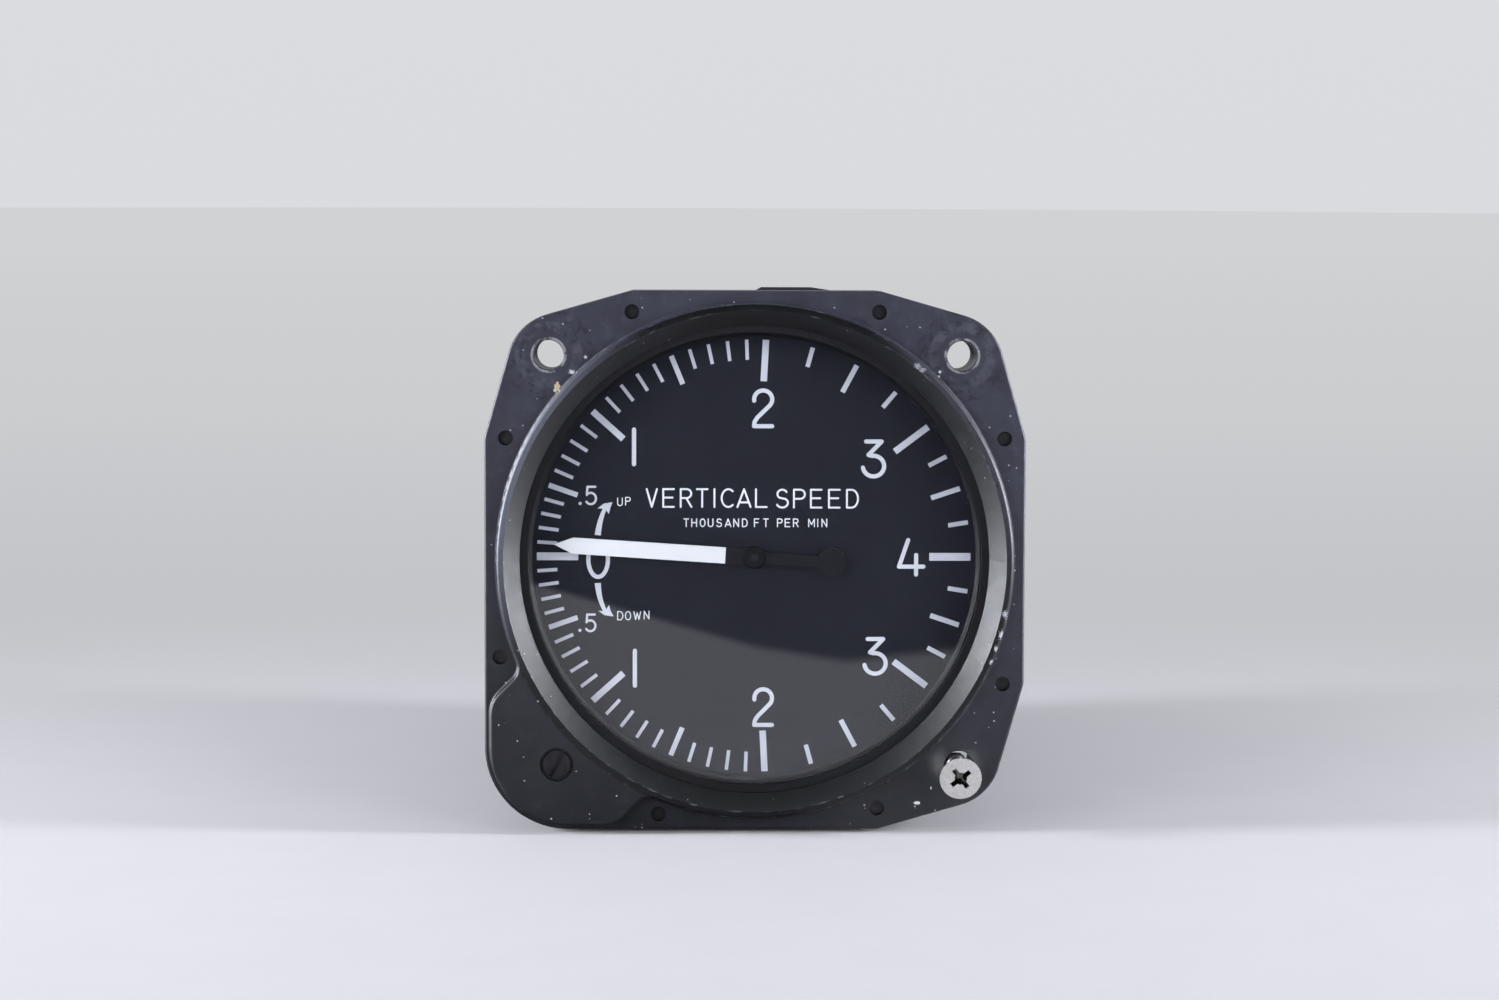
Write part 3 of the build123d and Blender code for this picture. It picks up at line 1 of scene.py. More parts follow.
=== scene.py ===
"""Looks of a vertical speed indicator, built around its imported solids.

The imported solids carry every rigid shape. This file gives each of them its finish, draws the dial's
lettering, cuts the screw threads, and sets the floor, the light and the camera.
"""

import logging
import math
from dataclasses import dataclass, field
from enum import Enum
from functools import reduce
from typing import Mapping, Sequence, Union

import bmesh
import bpy
from mathutils import Matrix, Vector


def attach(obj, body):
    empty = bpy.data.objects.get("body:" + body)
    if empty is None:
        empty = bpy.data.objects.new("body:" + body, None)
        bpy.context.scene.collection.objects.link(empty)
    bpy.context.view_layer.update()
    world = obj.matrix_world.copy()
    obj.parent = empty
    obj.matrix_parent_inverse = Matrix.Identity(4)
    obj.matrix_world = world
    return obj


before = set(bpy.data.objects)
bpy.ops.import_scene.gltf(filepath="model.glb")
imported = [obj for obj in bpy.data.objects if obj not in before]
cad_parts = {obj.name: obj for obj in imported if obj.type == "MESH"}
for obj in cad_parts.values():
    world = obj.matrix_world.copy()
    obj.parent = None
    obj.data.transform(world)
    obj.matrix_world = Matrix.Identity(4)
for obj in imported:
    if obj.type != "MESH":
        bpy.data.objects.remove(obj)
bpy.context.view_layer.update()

LOG = logging.getLogger("instrument")
MM = 0.001
PHOTO_WIDTH = 1499

Point = tuple[float, float]
Triple = tuple[float, float, float]
Colour = Triple
Corner = bmesh.types.BMVert
Material = bpy.types.Material


class Body(Enum):
    """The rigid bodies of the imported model."""

    HOUSING = "housing"
    ZERO_SCREW = "zero_screw"
    MOVEMENT = "movement"
    POINTER = "pointer_body"
    SECTOR = "sector_body"
    ROCKER = "rocker"
    LINK = "link"


class Signal:
    """A node's output socket that can stand in an expression."""

    def __init__(self, graph: "Graph", socket: bpy.types.NodeSocket) -> None:
        """Keep the socket and the graph that it belongs to."""
        self.graph = graph
        self.socket = socket

    def _math(self, operation: str, left: "Value", right: "Value") -> "Signal":
        """Add one Math node for an operation on two values."""
        return self.graph.node("ShaderNodeMath", {"operation": operation}, {0: left, 1: right})

    def __add__(self, other: "Value") -> "Signal":
        """Add."""
        return self._math("ADD", self, other)

    __radd__ = __add__

    def __sub__(self, other: "Value") -> "Signal":
        """Subtract."""
        return self._math("SUBTRACT", self, other)

    def __rsub__(self, other: "Value") -> "Signal":
        """Subtract from a number."""
        return self._math("SUBTRACT", other, self)

    def __mul__(self, other: "Value") -> "Signal":
        """Multiply."""
        return self._math("MULTIPLY", self, other)

    def __truediv__(self, other: "Value") -> "Signal":
        """Divide."""
        return self._math("DIVIDE", self, other)

    def __pow__(self, other: "Value") -> "Signal":
        """Raise to a power."""
        return self._math("POWER", self, other)

    def other(self, output: str | int) -> "Signal":
        """Another output of the same node."""
        return Signal(self.graph, self.socket.node.outputs[output])

    def larger(self, other: "Value") -> "Signal":
        """Take the larger of two values."""
        return self._math("MAXIMUM", self, other)

    def smaller(self, other: "Value") -> "Signal":
        """Take the smaller of two values."""
        return self._math("MINIMUM", self, other)

    def ramp(self, low: float, high: float) -> "Signal":
        """Go evenly from 0 at one value to 1 at another, and stay there."""
        return self._between("LINEAR", low, high)

    def rise(self, low: float, high: float) -> "Signal":
        """Go smoothly from 0 at one value to 1 at another, also where the first is the larger."""
        return self._between("SMOOTHSTEP", low, high)

    def _between(self, way: str, low: float, high: float) -> "Signal":
        """Map this to 0 at one value and 1 at another, in one of Blender's ways between them."""
        limits = {"Value": self, "From Min": low, "From Max": high, "To Min": 0.0, "To Max": 1.0}
        return self.graph.node("ShaderNodeMapRange", {"interpolation_type": way}, limits)


Value = Union[Signal, float, int, Sequence[float]]


class Graph:
    """A node tree that is built by expressions and by one method for any other node."""

    def __init__(self, tree: bpy.types.NodeTree) -> None:
        """Empty the tree and keep it."""
        self.tree = tree
        tree.nodes.clear()

    def node(
        self,
        kind: str,
        settings: Mapping[str, object] | None = None,
        inputs: Mapping[str | int, Value] | None = None,
        output: str | int = 0,
    ) -> Signal:
        """Add a node of any kind.

        Args:
            kind: The node's Blender type.
            settings: Its own properties, and "stops" for a colour ramp as (position, colour) pairs.
            inputs: What its sockets hold, by name or place: a number, a tuple or a signal.
            output: The output socket that is wanted, by name or place.

        Returns:
            The signal of that output.
        """
        made = self.tree.nodes.new(kind)
        for key, value in (settings or {}).items():
            if key == "stops":
                self._set_stops(made.color_ramp, value)
            else:
                setattr(made, key, value)
        for key, value in (inputs or {}).items():
            self.put(made.inputs[key], value)
        return Signal(self, made.outputs[output])

    def put(self, socket: bpy.types.NodeSocket, value: Value) -> None:
        """Set a socket, or link it.

        Args:
            socket: The input socket.
            value: What it holds: a number, a tuple, a colour without its alpha or a signal.
        """
        if isinstance(value, Signal):
            self.tree.links.new(value.socket, socket)
        elif socket.type == "RGBA":
            socket.default_value = (*value, 1.0)
        else:
            socket.default_value = value

    @staticmethod
    def _set_stops(ramp: bpy.types.ColorRamp, stops: Sequence[tuple[float, Colour]]) -> None:
        """Give a colour ramp its stops.

        Args:
            ramp: The ramp.
            stops: Each stop's position and colour, in order.
        """
        while len(ramp.elements) < len(stops):
            ramp.elements.new(1.0)
        for element, (position, colour) in zip(ramp.elements, stops):
            element.position = position
            element.color = (*colour, 1.0)

    def place(self) -> Signal:
        """The point on the surface in the part's own frame, in metres."""
        return self.node("ShaderNodeTexCoord", output="Object")

    def axes(self, vector: Signal) -> tuple[Signal, Signal, Signal]:
        """Split a vector into its X, Y and Z."""
        first = self.node("ShaderNodeSeparateXYZ", inputs={0: vector})
        return first, first.other(1), first.other(2)

    def noise(self, grain: float, detail: float, where: Signal, rough: float = 0.5) -> Signal:
        """Soft noise from 0 to 1: its lumps' size in millimetres, its finer layers and their weight."""
        inputs = {"Vector": where, "Scale": 1 / (grain * MM), "Detail": detail, "Roughness": rough}
        return self.node("ShaderNodeTexNoise", {"noise_dimensions": "3D"}, inputs)

    def cells(self, size: float, where: Signal) -> Signal:
        """The distance to the middle of the nearest of irregular cells of a size in millimetres."""
        settings = {"feature": "F1", "voronoi_dimensions": "3D"}
        return self.node("ShaderNodeTexVoronoi", settings, {"Vector": where, "Scale": 1 / (size * MM)}, 0)

    def specks(self, spacing: float, size: float, share: float, where: Signal) -> Signal:
        """Scattered round specks, such as dust.

        Args:
            spacing: The mean distance between places where a speck may lie, in millimetres.
            size: A speck's largest radius in millimetres.
            share: The share of those places that hold one.
            where: The point to read them at.

        Returns:
            1 on a speck and 0 elsewhere.
        """
        cells = self.cells(spacing, where)
        red, green, _ = self.axes(cells.other("Color"))
        radius = green * (size / spacing)
        held = red.rise(1 - share, 1 - share + 0.02)
        return (radius - cells).rise(0.0, 0.25 * size / spacing) * held

    def vector(self, operation: str, first: Value, second: Value = (0.0, 0.0, 0.0)) -> Signal:
        """Work on one or two vectors by an operation of the Vector Math node."""
        output = "Value" if operation in ("DISTANCE", "LENGTH", "DOT_PRODUCT") else "Vector"
        return self.node("ShaderNodeVectorMath", {"operation": operation}, {0: first, 1: second}, output)

    def ray(self, *kinds: str) -> Signal:
        """1 for a ray of one of these kinds, by the Light Path node's words, and 0 for others."""
        rays = (self.node("ShaderNodeLightPath", output=f"Is {kind} Ray") for kind in kinds)
        return reduce(Signal.larger, rays)

    def away(self, centre: Sequence[float], where: Signal) -> Signal:
        """The distance from a point given in millimetres, in metres."""
        return self.vector("DISTANCE", where, metres(centre))

    def spot(self, chip: "Chip", where: Signal) -> Signal:
        """A single worn or chipped spot with a ragged outline.

        Args:
            chip: Its place, size and shape.
            where: The point to read it at.

        Returns:
            1 inside the spot and 0 outside.
        """
        offset = self.vector("SUBTRACT", where, metres(chip.centre))
        length = self.vector("LENGTH", self.vector("MULTIPLY", offset, chip.squeeze))
        wander = (self.noise(chip.radius * 0.7, 3.0, where, 0.75) - 0.5) * (6.0 * chip.ragged * MM)
        return (length + wander).rise((chip.radius + 0.05) * MM, (chip.radius - 0.05) * MM)

    def band(self, distance: Signal, middle: float, half: float, soft: float) -> Signal:
        """A band round one value of a distance, all in millimetres, with soft edges."""
        inner = distance.rise((middle - half - soft) * MM, (middle - half) * MM)
        return inner * distance.rise((middle + half + soft) * MM, (middle + half) * MM)

    def blend(self, factor: Value, first: Value, second: Value) -> Signal:
        """Mix two colours, where the factor is the second one's share."""
        settings = {"data_type": "RGBA", "clamp_factor": True}
        return self.node("ShaderNodeMix", settings, {0: factor, 6: first, 7: second}, output=2)


def metres(point: Sequence[float]) -> Triple:
    """A point or a stretch in metres, from millimetres."""
    return (point[0] * MM, point[1] * MM, point[2] * MM)


def scaled(colour: Colour, share: float) -> Colour:
    """A colour made darker or lighter."""
    return (colour[0] * share, colour[1] * share, colour[2] * share)


class Surface:
    """A Principled surface of one material, with its graph."""

    def __init__(self, name: str, **sockets: Value) -> None:
        """Make the material.

        Args:
            name: The material's name.
            sockets: Values for the shader's sockets, with underscores for spaces.
        """
        self.material = bpy.data.materials.new(name)
        self.material.use_nodes = True
        self.graph = Graph(self.material.node_tree)
        self.shader = self.graph.node("ShaderNodeBsdfPrincipled")
        self.output = self.graph.tree.nodes.new("ShaderNodeOutputMaterial")
        self.show(self.shader)
        for key, value in sockets.items():
            self.give(key.replace("_", " "), value)

    def show(self, shader: Signal) -> None:
        """Make a shader the material's surface."""
        self.graph.tree.links.new(shader.socket, self.output.inputs["Surface"])

    def give(self, socket: str, value: Value) -> None:
        """Set or link one socket of the shader."""
        self.graph.put(self.shader.socket.node.inputs[socket], value)

    def bump(self, height: Signal, depth: float, strength: float = 1.0, over: Signal | None = None) -> Signal:
        """Raise the surface by a height.

        Args:
            height: A value between 0 and 1.
            depth: How high 1 stands, in millimetres.
            strength: How much of it shows.
            over: Another bump that it lies on.

        Returns:
            The bumped normal.
        """
        inputs: dict[str, Value] = {"Height": height, "Distance": depth * MM, "Strength": strength}
        if over is not None:
            inputs["Normal"] = over
        normal = self.graph.node("ShaderNodeBump", inputs=inputs, output="Normal")
        self.give("Normal", normal)
        return normal


@dataclass(frozen=True)
class Chip:
    """A place where the paint is gone: middle and radius in millimetres, what shows, and its shape."""

    centre: Triple
    radius: float
    colour: Colour
    ragged: float = 0.25
    squeeze: Triple = (1.0, 1.0, 1.0)


@dataclass(frozen=True)
class CastPaint:
    """Satin black paint over a fine-grained casting, with dust, smudges, edge wear, chips, and painted light,
    shade and sheen.

    Holes are the middles of the mounting holes, round which screw heads have left rubbing marks. Where
    turned is given, it is the inner, middle and outer radius of a turned bevel and the ring round it,
    which are rougher and darker than the casting. Their edges carry wear with a painted highlight, and the
    ring a painted sheen on its left and right. They end at the turned depth. Painted shading is painted
    shade and light: how dark the paint is made low down and how light at the top right, as light falls
    on it; it grows over its runs across and upwards. The colours are those of soot, rubbing marks, bare
    metal, edge wear with its painted highlight and sheen, and dust. All lengths are in millimetres.
    """

    name: str
    dust: float
    colour: Colour = (0.0185, 0.0190, 0.0300)
    roughness: float = 0.42
    chips: tuple[Chip, ...] = ()
    holes: tuple[Triple, ...] = ()
    turned: Triple | None = None
    painted_shading: tuple[float, float] | None = None
    shading_runs: tuple[float, float] = (250.0, 60.0)
    shading_middle: float = 0.62
    turned_share: float = 0.1
    turned_depth: float = 2.5
    bevel_fall: float = 1.15
    rubbed_radius: float = 4.35
    smudged_radius: float = 5.3
    rim_radius: float = 2.55
    gloss: float = 0.5
    soot: Colour = (0.008, 0.008, 0.012)
    rub: Colour = (0.070, 0.074, 0.100)
    bare: Colour = (0.20, 0.205, 0.22)
    edge: Colour = (0.10, 0.105, 0.135)
    lint: Colour = (0.42, 0.43, 0.46)

    def material(self) -> Material:
        """Build the finish.

        Returns:
            The material.
        """
        made = Surface(self.name, Specular_IOR_Level=self.gloss)
        graph = made.graph
        point = graph.place()
        grain = graph.noise(0.32, 2.0, point, 0.6)
        cloud = graph.noise(9.0, 3.0, point, 0.6)
        smear = graph.noise(2.4, 5.0, point, 0.7)
        tone = graph.blend(cloud.rise(0.35, 0.7), scaled(self.colour, 0.8), scaled(self.colour, 1.2))
        tone = graph.blend(smear.rise(0.52, 0.66) * 0.45, tone, scaled(self.colour, 1.8))
        rough = self.roughness + (smear - 0.5) * 0.24
        # Painted shade and light: the paint is made darker low down and lighter at the top right, as light
        # falls on it.
        if self.painted_shading:
            across, _, height = graph.axes(point)
            run_across, run_up = self.shading_runs
            shading_ramp = (height / (run_up * MM) + across / (run_across * MM) + self.shading_middle).rise(0.0, 1.0)
            low, high = (scaled((1.0, 1.0, 1.0), share) for share in self.painted_shading)
            tone = graph.vector("MULTIPLY", tone, graph.blend(shading_ramp, low, high))
        for centre in self.holes:
            away = graph.away(centre, point)
            rub_and_sheen = graph.band(away, self.rubbed_radius, 0.5, 0.5) * smear.rise(0.40, 0.58)
            patches = graph.noise(1.5, 3.0, point, 0.7).rise(0.50, 0.60)
            smudge = graph.band(away, self.smudged_radius, 1.3, 0.8) * patches
            tone = graph.blend(smudge * 0.65, tone, self.soot)
            tone = graph.blend(rub_and_sheen * 0.5, tone, self.rub)
            rim = graph.band(away, self.rim_radius, 0.14, 0.1) * smear.rise(0.42, 0.55)
            tone = graph.blend(rim, tone, self.bare)
        slope = None
        if self.turned:
            cut, lean, wear_and_sheen, ring = self._turned(graph, point)
            tone = graph.blend(cut * 0.97, tone, scaled(self.colour, self.turned_share))
            # Edge wear with a painted highlight, and a painted sheen on the ring's left and right.
            tone = graph.blend(wear_and_sheen, tone, self.edge)
            rough = rough + cut * 0.08 - ring * 0.20
            slope = made.bump(lean, self.bevel_fall)
        dust = graph.specks(1.0, 0.14, 0.38, point) * self.dust
        tone = graph.blend(dust, tone, self.lint)
        for chip in self.chips:
            bare = graph.spot(chip, point)
            tone = graph.blend(bare, tone, chip.colour)
            rough = rough + bare * 0.15
        made.give("Base Color", tone)
        made.give("Roughness", rough)
        made.bump(grain * 0.75 + dust * 0.5, 0.018, 0.5, slope)
        return made.material

    def _turned(self, graph: Graph, point: Signal) -> tuple[Signal, Signal, Signal, Signal]:
        """The turned bevel and ring, by their radius about the instrument's axis.

        Args:
            graph: The material's graph.
            point: The point on the surface.

        Returns:
            Where they are, how far the bevel's face leans out, where their edges carry wear with a painted
            highlight and the ring a painted sheen on its left and right, and where the ring's smooth front
            is.
        """
        inner, middle, outer = self.turned
        across, depth, height = graph.axes(point)
        radius = (across * across + height * height) ** 0.5
        fore = depth.rise((self.turned_depth + 0.1) * MM, (self.turned_depth - 0.1) * MM)
        where = radius.rise((outer + 0.1) * MM, (outer - 0.05) * MM) * fore
        lean = radius.ramp(middle * MM, inner * MM)
        wear_and_sheen = graph.noise(1.7, 3.0, point, 0.7).rise(0.50, 0.70) * depth.rise(-1.4 * MM, -1.7 * MM)
        # The ring's two edges: real wear together with a painted highlight along them.
        edges = graph.band(radius, middle, 0.06, 0.08).larger(graph.band(radius, outer - 0.08, 0.06, 0.08))
        ring = where * radius.rise((middle - 0.1) * MM, (middle + 0.1) * MM)
        # Painted sheen: the ring is made lighter on its left and right, where the side light glints on it.
        left = across.rise(-14 * MM, -36 * MM) * height.rise(-20 * MM, 8 * MM)
        right = across.rise(16 * MM, 30 * MM) * height.rise(-14 * MM, 16 * MM)
        rub_and_sheen = ring * (left * 0.85).larger(right * 0.3)
        return where, lean, (edges * wear_and_sheen * 0.6).larger(rub_and_sheen), ring


@dataclass(frozen=True)
class Enamel:
    """Flat enamel or printed paint, with a little dust."""

    name: str
    colour: Colour
    roughness: float = 0.6
    dust: float = 0.0
    grain: float = 0.4
    gloss: float = 0.35
    lint: Colour = (0.30, 0.31, 0.34)

    def material(self) -> Material:
        """Build the finish.

        Returns:
            The material.
        """
        made = Surface(self.name, Specular_IOR_Level=self.gloss)
        graph = made.graph
        point = graph.place()
        cloud = graph.noise(6.0, 3.0, point)
        tone = graph.blend(cloud.rise(0.3, 0.7), scaled(self.colour, 0.93), scaled(self.colour, 1.05))
        if self.dust > 0:
            specks = graph.specks(1.7, 0.11, 0.32, point) * self.dust
            tone = graph.blend(specks, tone, self.lint)
        made.give("Base Color", tone)
        made.give("Roughness", self.roughness + (graph.noise(1.2, 2.0, point) - 0.5) * 0.12)
        made.bump(graph.noise(self.grain, 2.0, point), 0.006, 0.4)
        return made.material


@dataclass(frozen=True)
class PointerPaint:
    """The pointer's paint: white towards its tip, and black over the hub and tail."""

    name: str
    heading: tuple[float, float]
    change: float = 4.45
    white: Colour = (0.75, 0.765, 0.785)
    black: Colour = (0.008, 0.008, 0.011)

    def material(self) -> Material:
        """Build the finish.

        Returns:
            The material.
        """
        made = Surface(self.name, Specular_IOR_Level=0.3)
        graph = made.graph
        point = graph.place()
        along = graph.vector("DOT_PRODUCT", point, (self.heading[0], 0.0, self.heading[1]))
        edge = along + (graph.noise(0.5, 2.0, point) - 0.5) * (0.05 * MM)
        front = edge.rise((self.change - 0.03) * MM, (self.change + 0.03) * MM)
        made.give("Base Color", graph.blend(front, self.black, self.white))
        made.give("Roughness", front * 0.22 + 0.36)
        made.bump(graph.noise(0.5, 2.0, point), 0.004, 0.3)
        return made.material


@dataclass(frozen=True)
class Metal:
    """Bare metal: turned, milled, ground or pressed, with faint marks and dulling.

    Where blacked is given, it is painted black in front of that depth in millimetres. Recess is the
    middle of a screw head's face and its outward axis, round which the floor of the driver's recess is made
    darker.
    """

    name: str
    colour: Colour
    roughness: float = 0.3
    tarnish: Colour = (0.2, 0.2, 0.2)
    wear: float = 0.25
    grain: float = 0.5
    brushed: Triple = (1.0, 1.0, 1.0)
    blacked: float | None = None
    recess: tuple[Vector, Vector] | None = None
    recess_radius: float = 1.8
    recess_floor: float = 1.7
    recess_tone: Colour = (0.075, 0.068, 0.062)
    black: Colour = (0.012, 0.012, 0.014)

    def material(self) -> Material:
        """Build the finish.

        Returns:
            The material.
        """
        made = Surface(self.name, Metallic=1.0)
        graph = made.graph
        point = graph.place()
        marks = graph.noise(self.grain, 3.0, graph.vector("MULTIPLY", point, self.brushed), 0.6)
        cloud = graph.noise(2.2, 3.0, point, 0.6)
        tone = graph.blend(cloud.rise(0.45, 0.8) * self.wear, self.colour, self.tarnish)
        if self.recess:
            # The floor of the driver's recess is made darker.
            tone = graph.blend(self._recess_darkening(graph, point), tone, self.recess_tone)
        if self.blacked is not None:
            paint = graph.axes(point)[1].rise((self.blacked + 0.05) * MM, (self.blacked - 0.05) * MM)
            tone = graph.blend(paint, tone, self.black)
            made.give("Metallic", 1 - paint)
        made.give("Base Color", tone)
        made.give("Roughness", self.roughness + (marks - 0.5) * 0.2 + cloud.rise(0.5, 0.8) * 0.1)
        made.bump(marks, 0.006, 0.35)
        return made.material

    def _recess_darkening(self, graph: Graph, point: Signal) -> Signal:
        """Where the floor of the recess in the screw's head is made darker.

        Args:
            graph: The material's graph.
            point: The point on the surface.

        Returns:
            How much of the surface it covers.
        """
        face, outward = self.recess
        offset = graph.vector("SUBTRACT", point, metres(face))
        height = graph.vector("DOT_PRODUCT", offset, tuple(outward))
        length = graph.vector("LENGTH", offset)
        aside = (length * length - height * height).larger(0.0) ** 0.5
        floor, wall = self.recess_floor, self.recess_radius
        deep = height.rise(-0.10 * MM, -0.45 * MM)
        deep = deep * height.rise((-floor - 0.05) * MM, (-floor + 0.05) * MM)
        return deep * aside.rise((wall + 0.02) * MM, (wall - 0.04) * MM) * 0.9


@dataclass(frozen=True)
class Rubber:
    """Moulded or cut sheet rubber with a fine dusty grain."""

    name: str
    colour: Colour = (0.006, 0.006, 0.008)
    dusty: Colour = (0.020, 0.021, 0.027)

    def material(self) -> Material:
        """Build the finish.

        Returns:
            The material.
        """
        made = Surface(self.name, Specular_IOR_Level=0.3)
        graph = made.graph
        point = graph.place()
        bloom = graph.noise(1.6, 4.0, point, 0.65)
        made.give("Base Color", graph.blend(bloom.rise(0.45, 0.8) * 0.5, self.colour, self.dusty))
        made.give("Roughness", bloom * 0.2 + 0.62)
        made.bump(graph.noise(0.25, 2.0, point), 0.01, 0.4)
        return made.material


@dataclass(frozen=True)
class Porous:
    """Porous ceramic or sintered metal made of small round grains."""

    name: str
    colour: Colour
    metallic: float = 0.0
    grain: float = 0.35

    def material(self) -> Material:
        """Build the finish.

        Returns:
            The material.
        """
        made = Surface(self.name, Metallic=self.metallic)
        graph = made.graph
        point = graph.place()
        grains = graph.cells(self.grain, point)
        pits = grains.rise(0.25, 0.75)
        made.give("Base Color", graph.blend(pits * 0.7, self.colour, scaled(self.colour, 0.35)))
        made.give("Roughness", pits * 0.2 + 0.6)
        made.bump(1 - grains, 0.05, 0.7)
        return made.material


@dataclass(frozen=True)
class ClearGlass:
    """Flat polished glass. Light that falls through it isn't held back."""

    name: str
    index: float = 1.5
    tint: Colour = (0.975, 0.98, 0.99)

    def material(self) -> Material:
        """Build the finish.

        Returns:
            The material.
        """
        made = Surface(self.name, Base_Color=self.tint, Roughness=0.0, IOR=self.index)
        made.give("Transmission Weight", 1.0)
        graph = made.graph
        clear = graph.node("ShaderNodeBsdfTransparent", inputs={"Color": self.tint})
        inputs = {0: graph.ray("Shadow"), 1: made.shader, 2: clear}
        made.show(graph.node("ShaderNodeMixShader", inputs=inputs))
        return made.material


Finish = Union[CastPaint, Enamel, PointerPaint, Metal, Rubber, Porous, ClearGlass]


@dataclass(frozen=True)
class Arc:
    """A stretch of an ellipse in a letter: centre, half axes, and start and end angles in degrees."""

    x: float
    y: float
    wide: float
    high: float
    start: float
    end: float

    def points(self, step: float = 9.0) -> list[Point]:
        """Points along the stretch.

        Args:
            step: The largest angle between two of them.

        Returns:
            The points in order.
        """
        count = max(2, math.ceil(abs(self.end - self.start) / step))
        angles = (math.radians(self.start + (self.end - self.start) * i / count) for i in range(count + 1))
        return [(self.x + self.wide * math.cos(a), self.y + self.high * math.sin(a)) for a in angles]


Stroke = tuple[Union[Point, Arc], ...]


@dataclass(frozen=True)
class Glyph:
    """One character drawn with a round pen: its width for a height of 1, and its strokes."""

    width: float
    strokes: tuple[Stroke, ...]

    def paths(self) -> list[list[Point]]:
        """Each stroke's points."""
        walks = ((s.points() if isinstance(s, Arc) else [s] for s in stroke) for stroke in self.strokes)
        return [sum(walk, []) for walk in walks]


GLYPHS: dict[str, Glyph] = {
    "0": Glyph(0.58, ((Arc(0.29, 0.5, 0.29, 0.5, 90, 450),),)),
    "1": Glyph(0.0, (((0.0, 0.0), (0.0, 1.0)),)),
    "2": Glyph(
        0.5, ((Arc(0.25, 0.75, 0.25, 0.25, 188, -38), (0.09, 0.24), (0.015, 0.12), (0.0, 0.0), (0.5, 0.0)),)
    ),
    "3": Glyph(
        0.636, (((0.1, 1.0), (0.557, 1.0), (0.17, 0.617), Arc(0.32, 0.296, 0.316, 0.296, 100, -171)),)
    ),
    "4": Glyph(0.7, (((0.258, 1.0), (0.0, 0.227), (0.7, 0.227)), ((0.49, 0.565), (0.49, 0.0)))),
    "5": Glyph(0.59, (((0.55, 1.0), (0.07, 1.0), (0.03, 0.53), Arc(0.27, 0.325, 0.32, 0.325, 138, -145)),)),
    "A": Glyph(0.74, (((0.0, 0.0), (0.37, 1.0), (0.74, 0.0)), ((0.1, 0.26), (0.64, 0.26)))),
    "C": Glyph(0.615, ((Arc(0.374, 0.5, 0.374, 0.5, 50, 310),),)),
    "D": Glyph(
        0.62, (((0.0, 0.0), (0.0, 1.0), (0.26, 1.0), Arc(0.26, 0.5, 0.36, 0.5, 90, -90), (0.0, 0.0)),)
    ),
    "E": Glyph(0.6, (((0.6, 1.0), (0.0, 1.0), (0.0, 0.0), (0.6, 0.0)), ((0.0, 0.524), (0.52, 0.524)))),
    "F": Glyph(0.56, (((0.0, 0.0), (0.0, 1.0), (0.56, 1.0)), ((0.0, 0.524), (0.46, 0.524)))),
    "H": Glyph(0.63, (((0.0, 0.0), (0.0, 1.0)), ((0.63, 0.0), (0.63, 1.0)), ((0.0, 0.51), (0.63, 0.51)))),
    "I": Glyph(0.0, (((0.0, 0.0), (0.0, 1.0)),)),
    "L": Glyph(0.6, (((0.0, 1.0), (0.0, 0.0), (0.6, 0.0)),)),
    "M": Glyph(0.75, (((0.0, 0.0), (0.0, 1.0), (0.375, 0.3), (0.75, 1.0), (0.75, 0.0)),)),
    "N": Glyph(0.63, (((0.0, 0.0), (0.0, 1.0), (0.63, 0.0), (0.63, 1.0)),)),
    "O": Glyph(0.63, ((Arc(0.315, 0.5, 0.315, 0.5, 90, 450),),)),
    "P": Glyph(
        0.61, (((0.0, 0.0), (0.0, 1.0), (0.35, 1.0), Arc(0.35, 0.745, 0.26, 0.255, 90, -90), (0.0, 0.49)),)
    ),
    "R": Glyph(
        0.6,
        (
            ((0.0, 0.0), (0.0, 1.0), (0.33, 1.0), Arc(0.33, 0.75, 0.26, 0.25, 90, -90), (0.0, 0.5)),
            ((0.31, 0.5), (0.6, 0.0)),
        ),
    ),
    "S": Glyph(0.63, ((Arc(0.315, 0.75, 0.27, 0.25, 28, 232), Arc(0.315, 0.262, 0.315, 0.262, 57, -156)),)),
    "T": Glyph(0.59, (((0.0, 1.0), (0.59, 1.0)), ((0.295, 1.0), (0.295, 0.0)))),
    "U": Glyph(0.62, (((0.0, 1.0), (0.0, 0.31), Arc(0.31, 0.31, 0.31, 0.31, 180, 360), (0.62, 1.0)),)),
    "V": Glyph(0.575, (((0.0, 1.0), (0.288, 0.0), (0.575, 1.0)),)),
    "W": Glyph(0.87, (((0.0, 1.0), (0.22, 0.0), (0.435, 0.85), (0.65, 0.0), (0.87, 1.0)),)),
}


@dataclass(frozen=True)
class Inscription:
    """Some characters on the dial, in millimetres.

    It has the left edge of each, the line's foot and top, the pen's width, and for stretched ones
    the width to fill.
    """

    text: str
    lefts: tuple[float, ...]
    bottom: float
    top: float
    pen: float
    width: float | None = None

    def paths(self) -> list[list[Point]]:
        """Lay the characters out.

        Returns:
            The pen's paths.
        """
        height = self.top - self.bottom - self.pen
        foot = self.bottom + self.pen / 2
        paths = []
        for character, left in zip(self.text, self.lefts):
            glyph = GLYPHS[character]
            scale = (self.width - self.pen) / glyph.width if self.width else height
            for path in glyph.paths():
                paths.append([(left + self.pen / 2 + x * scale, foot + y * height) for x, y in path])
        return paths


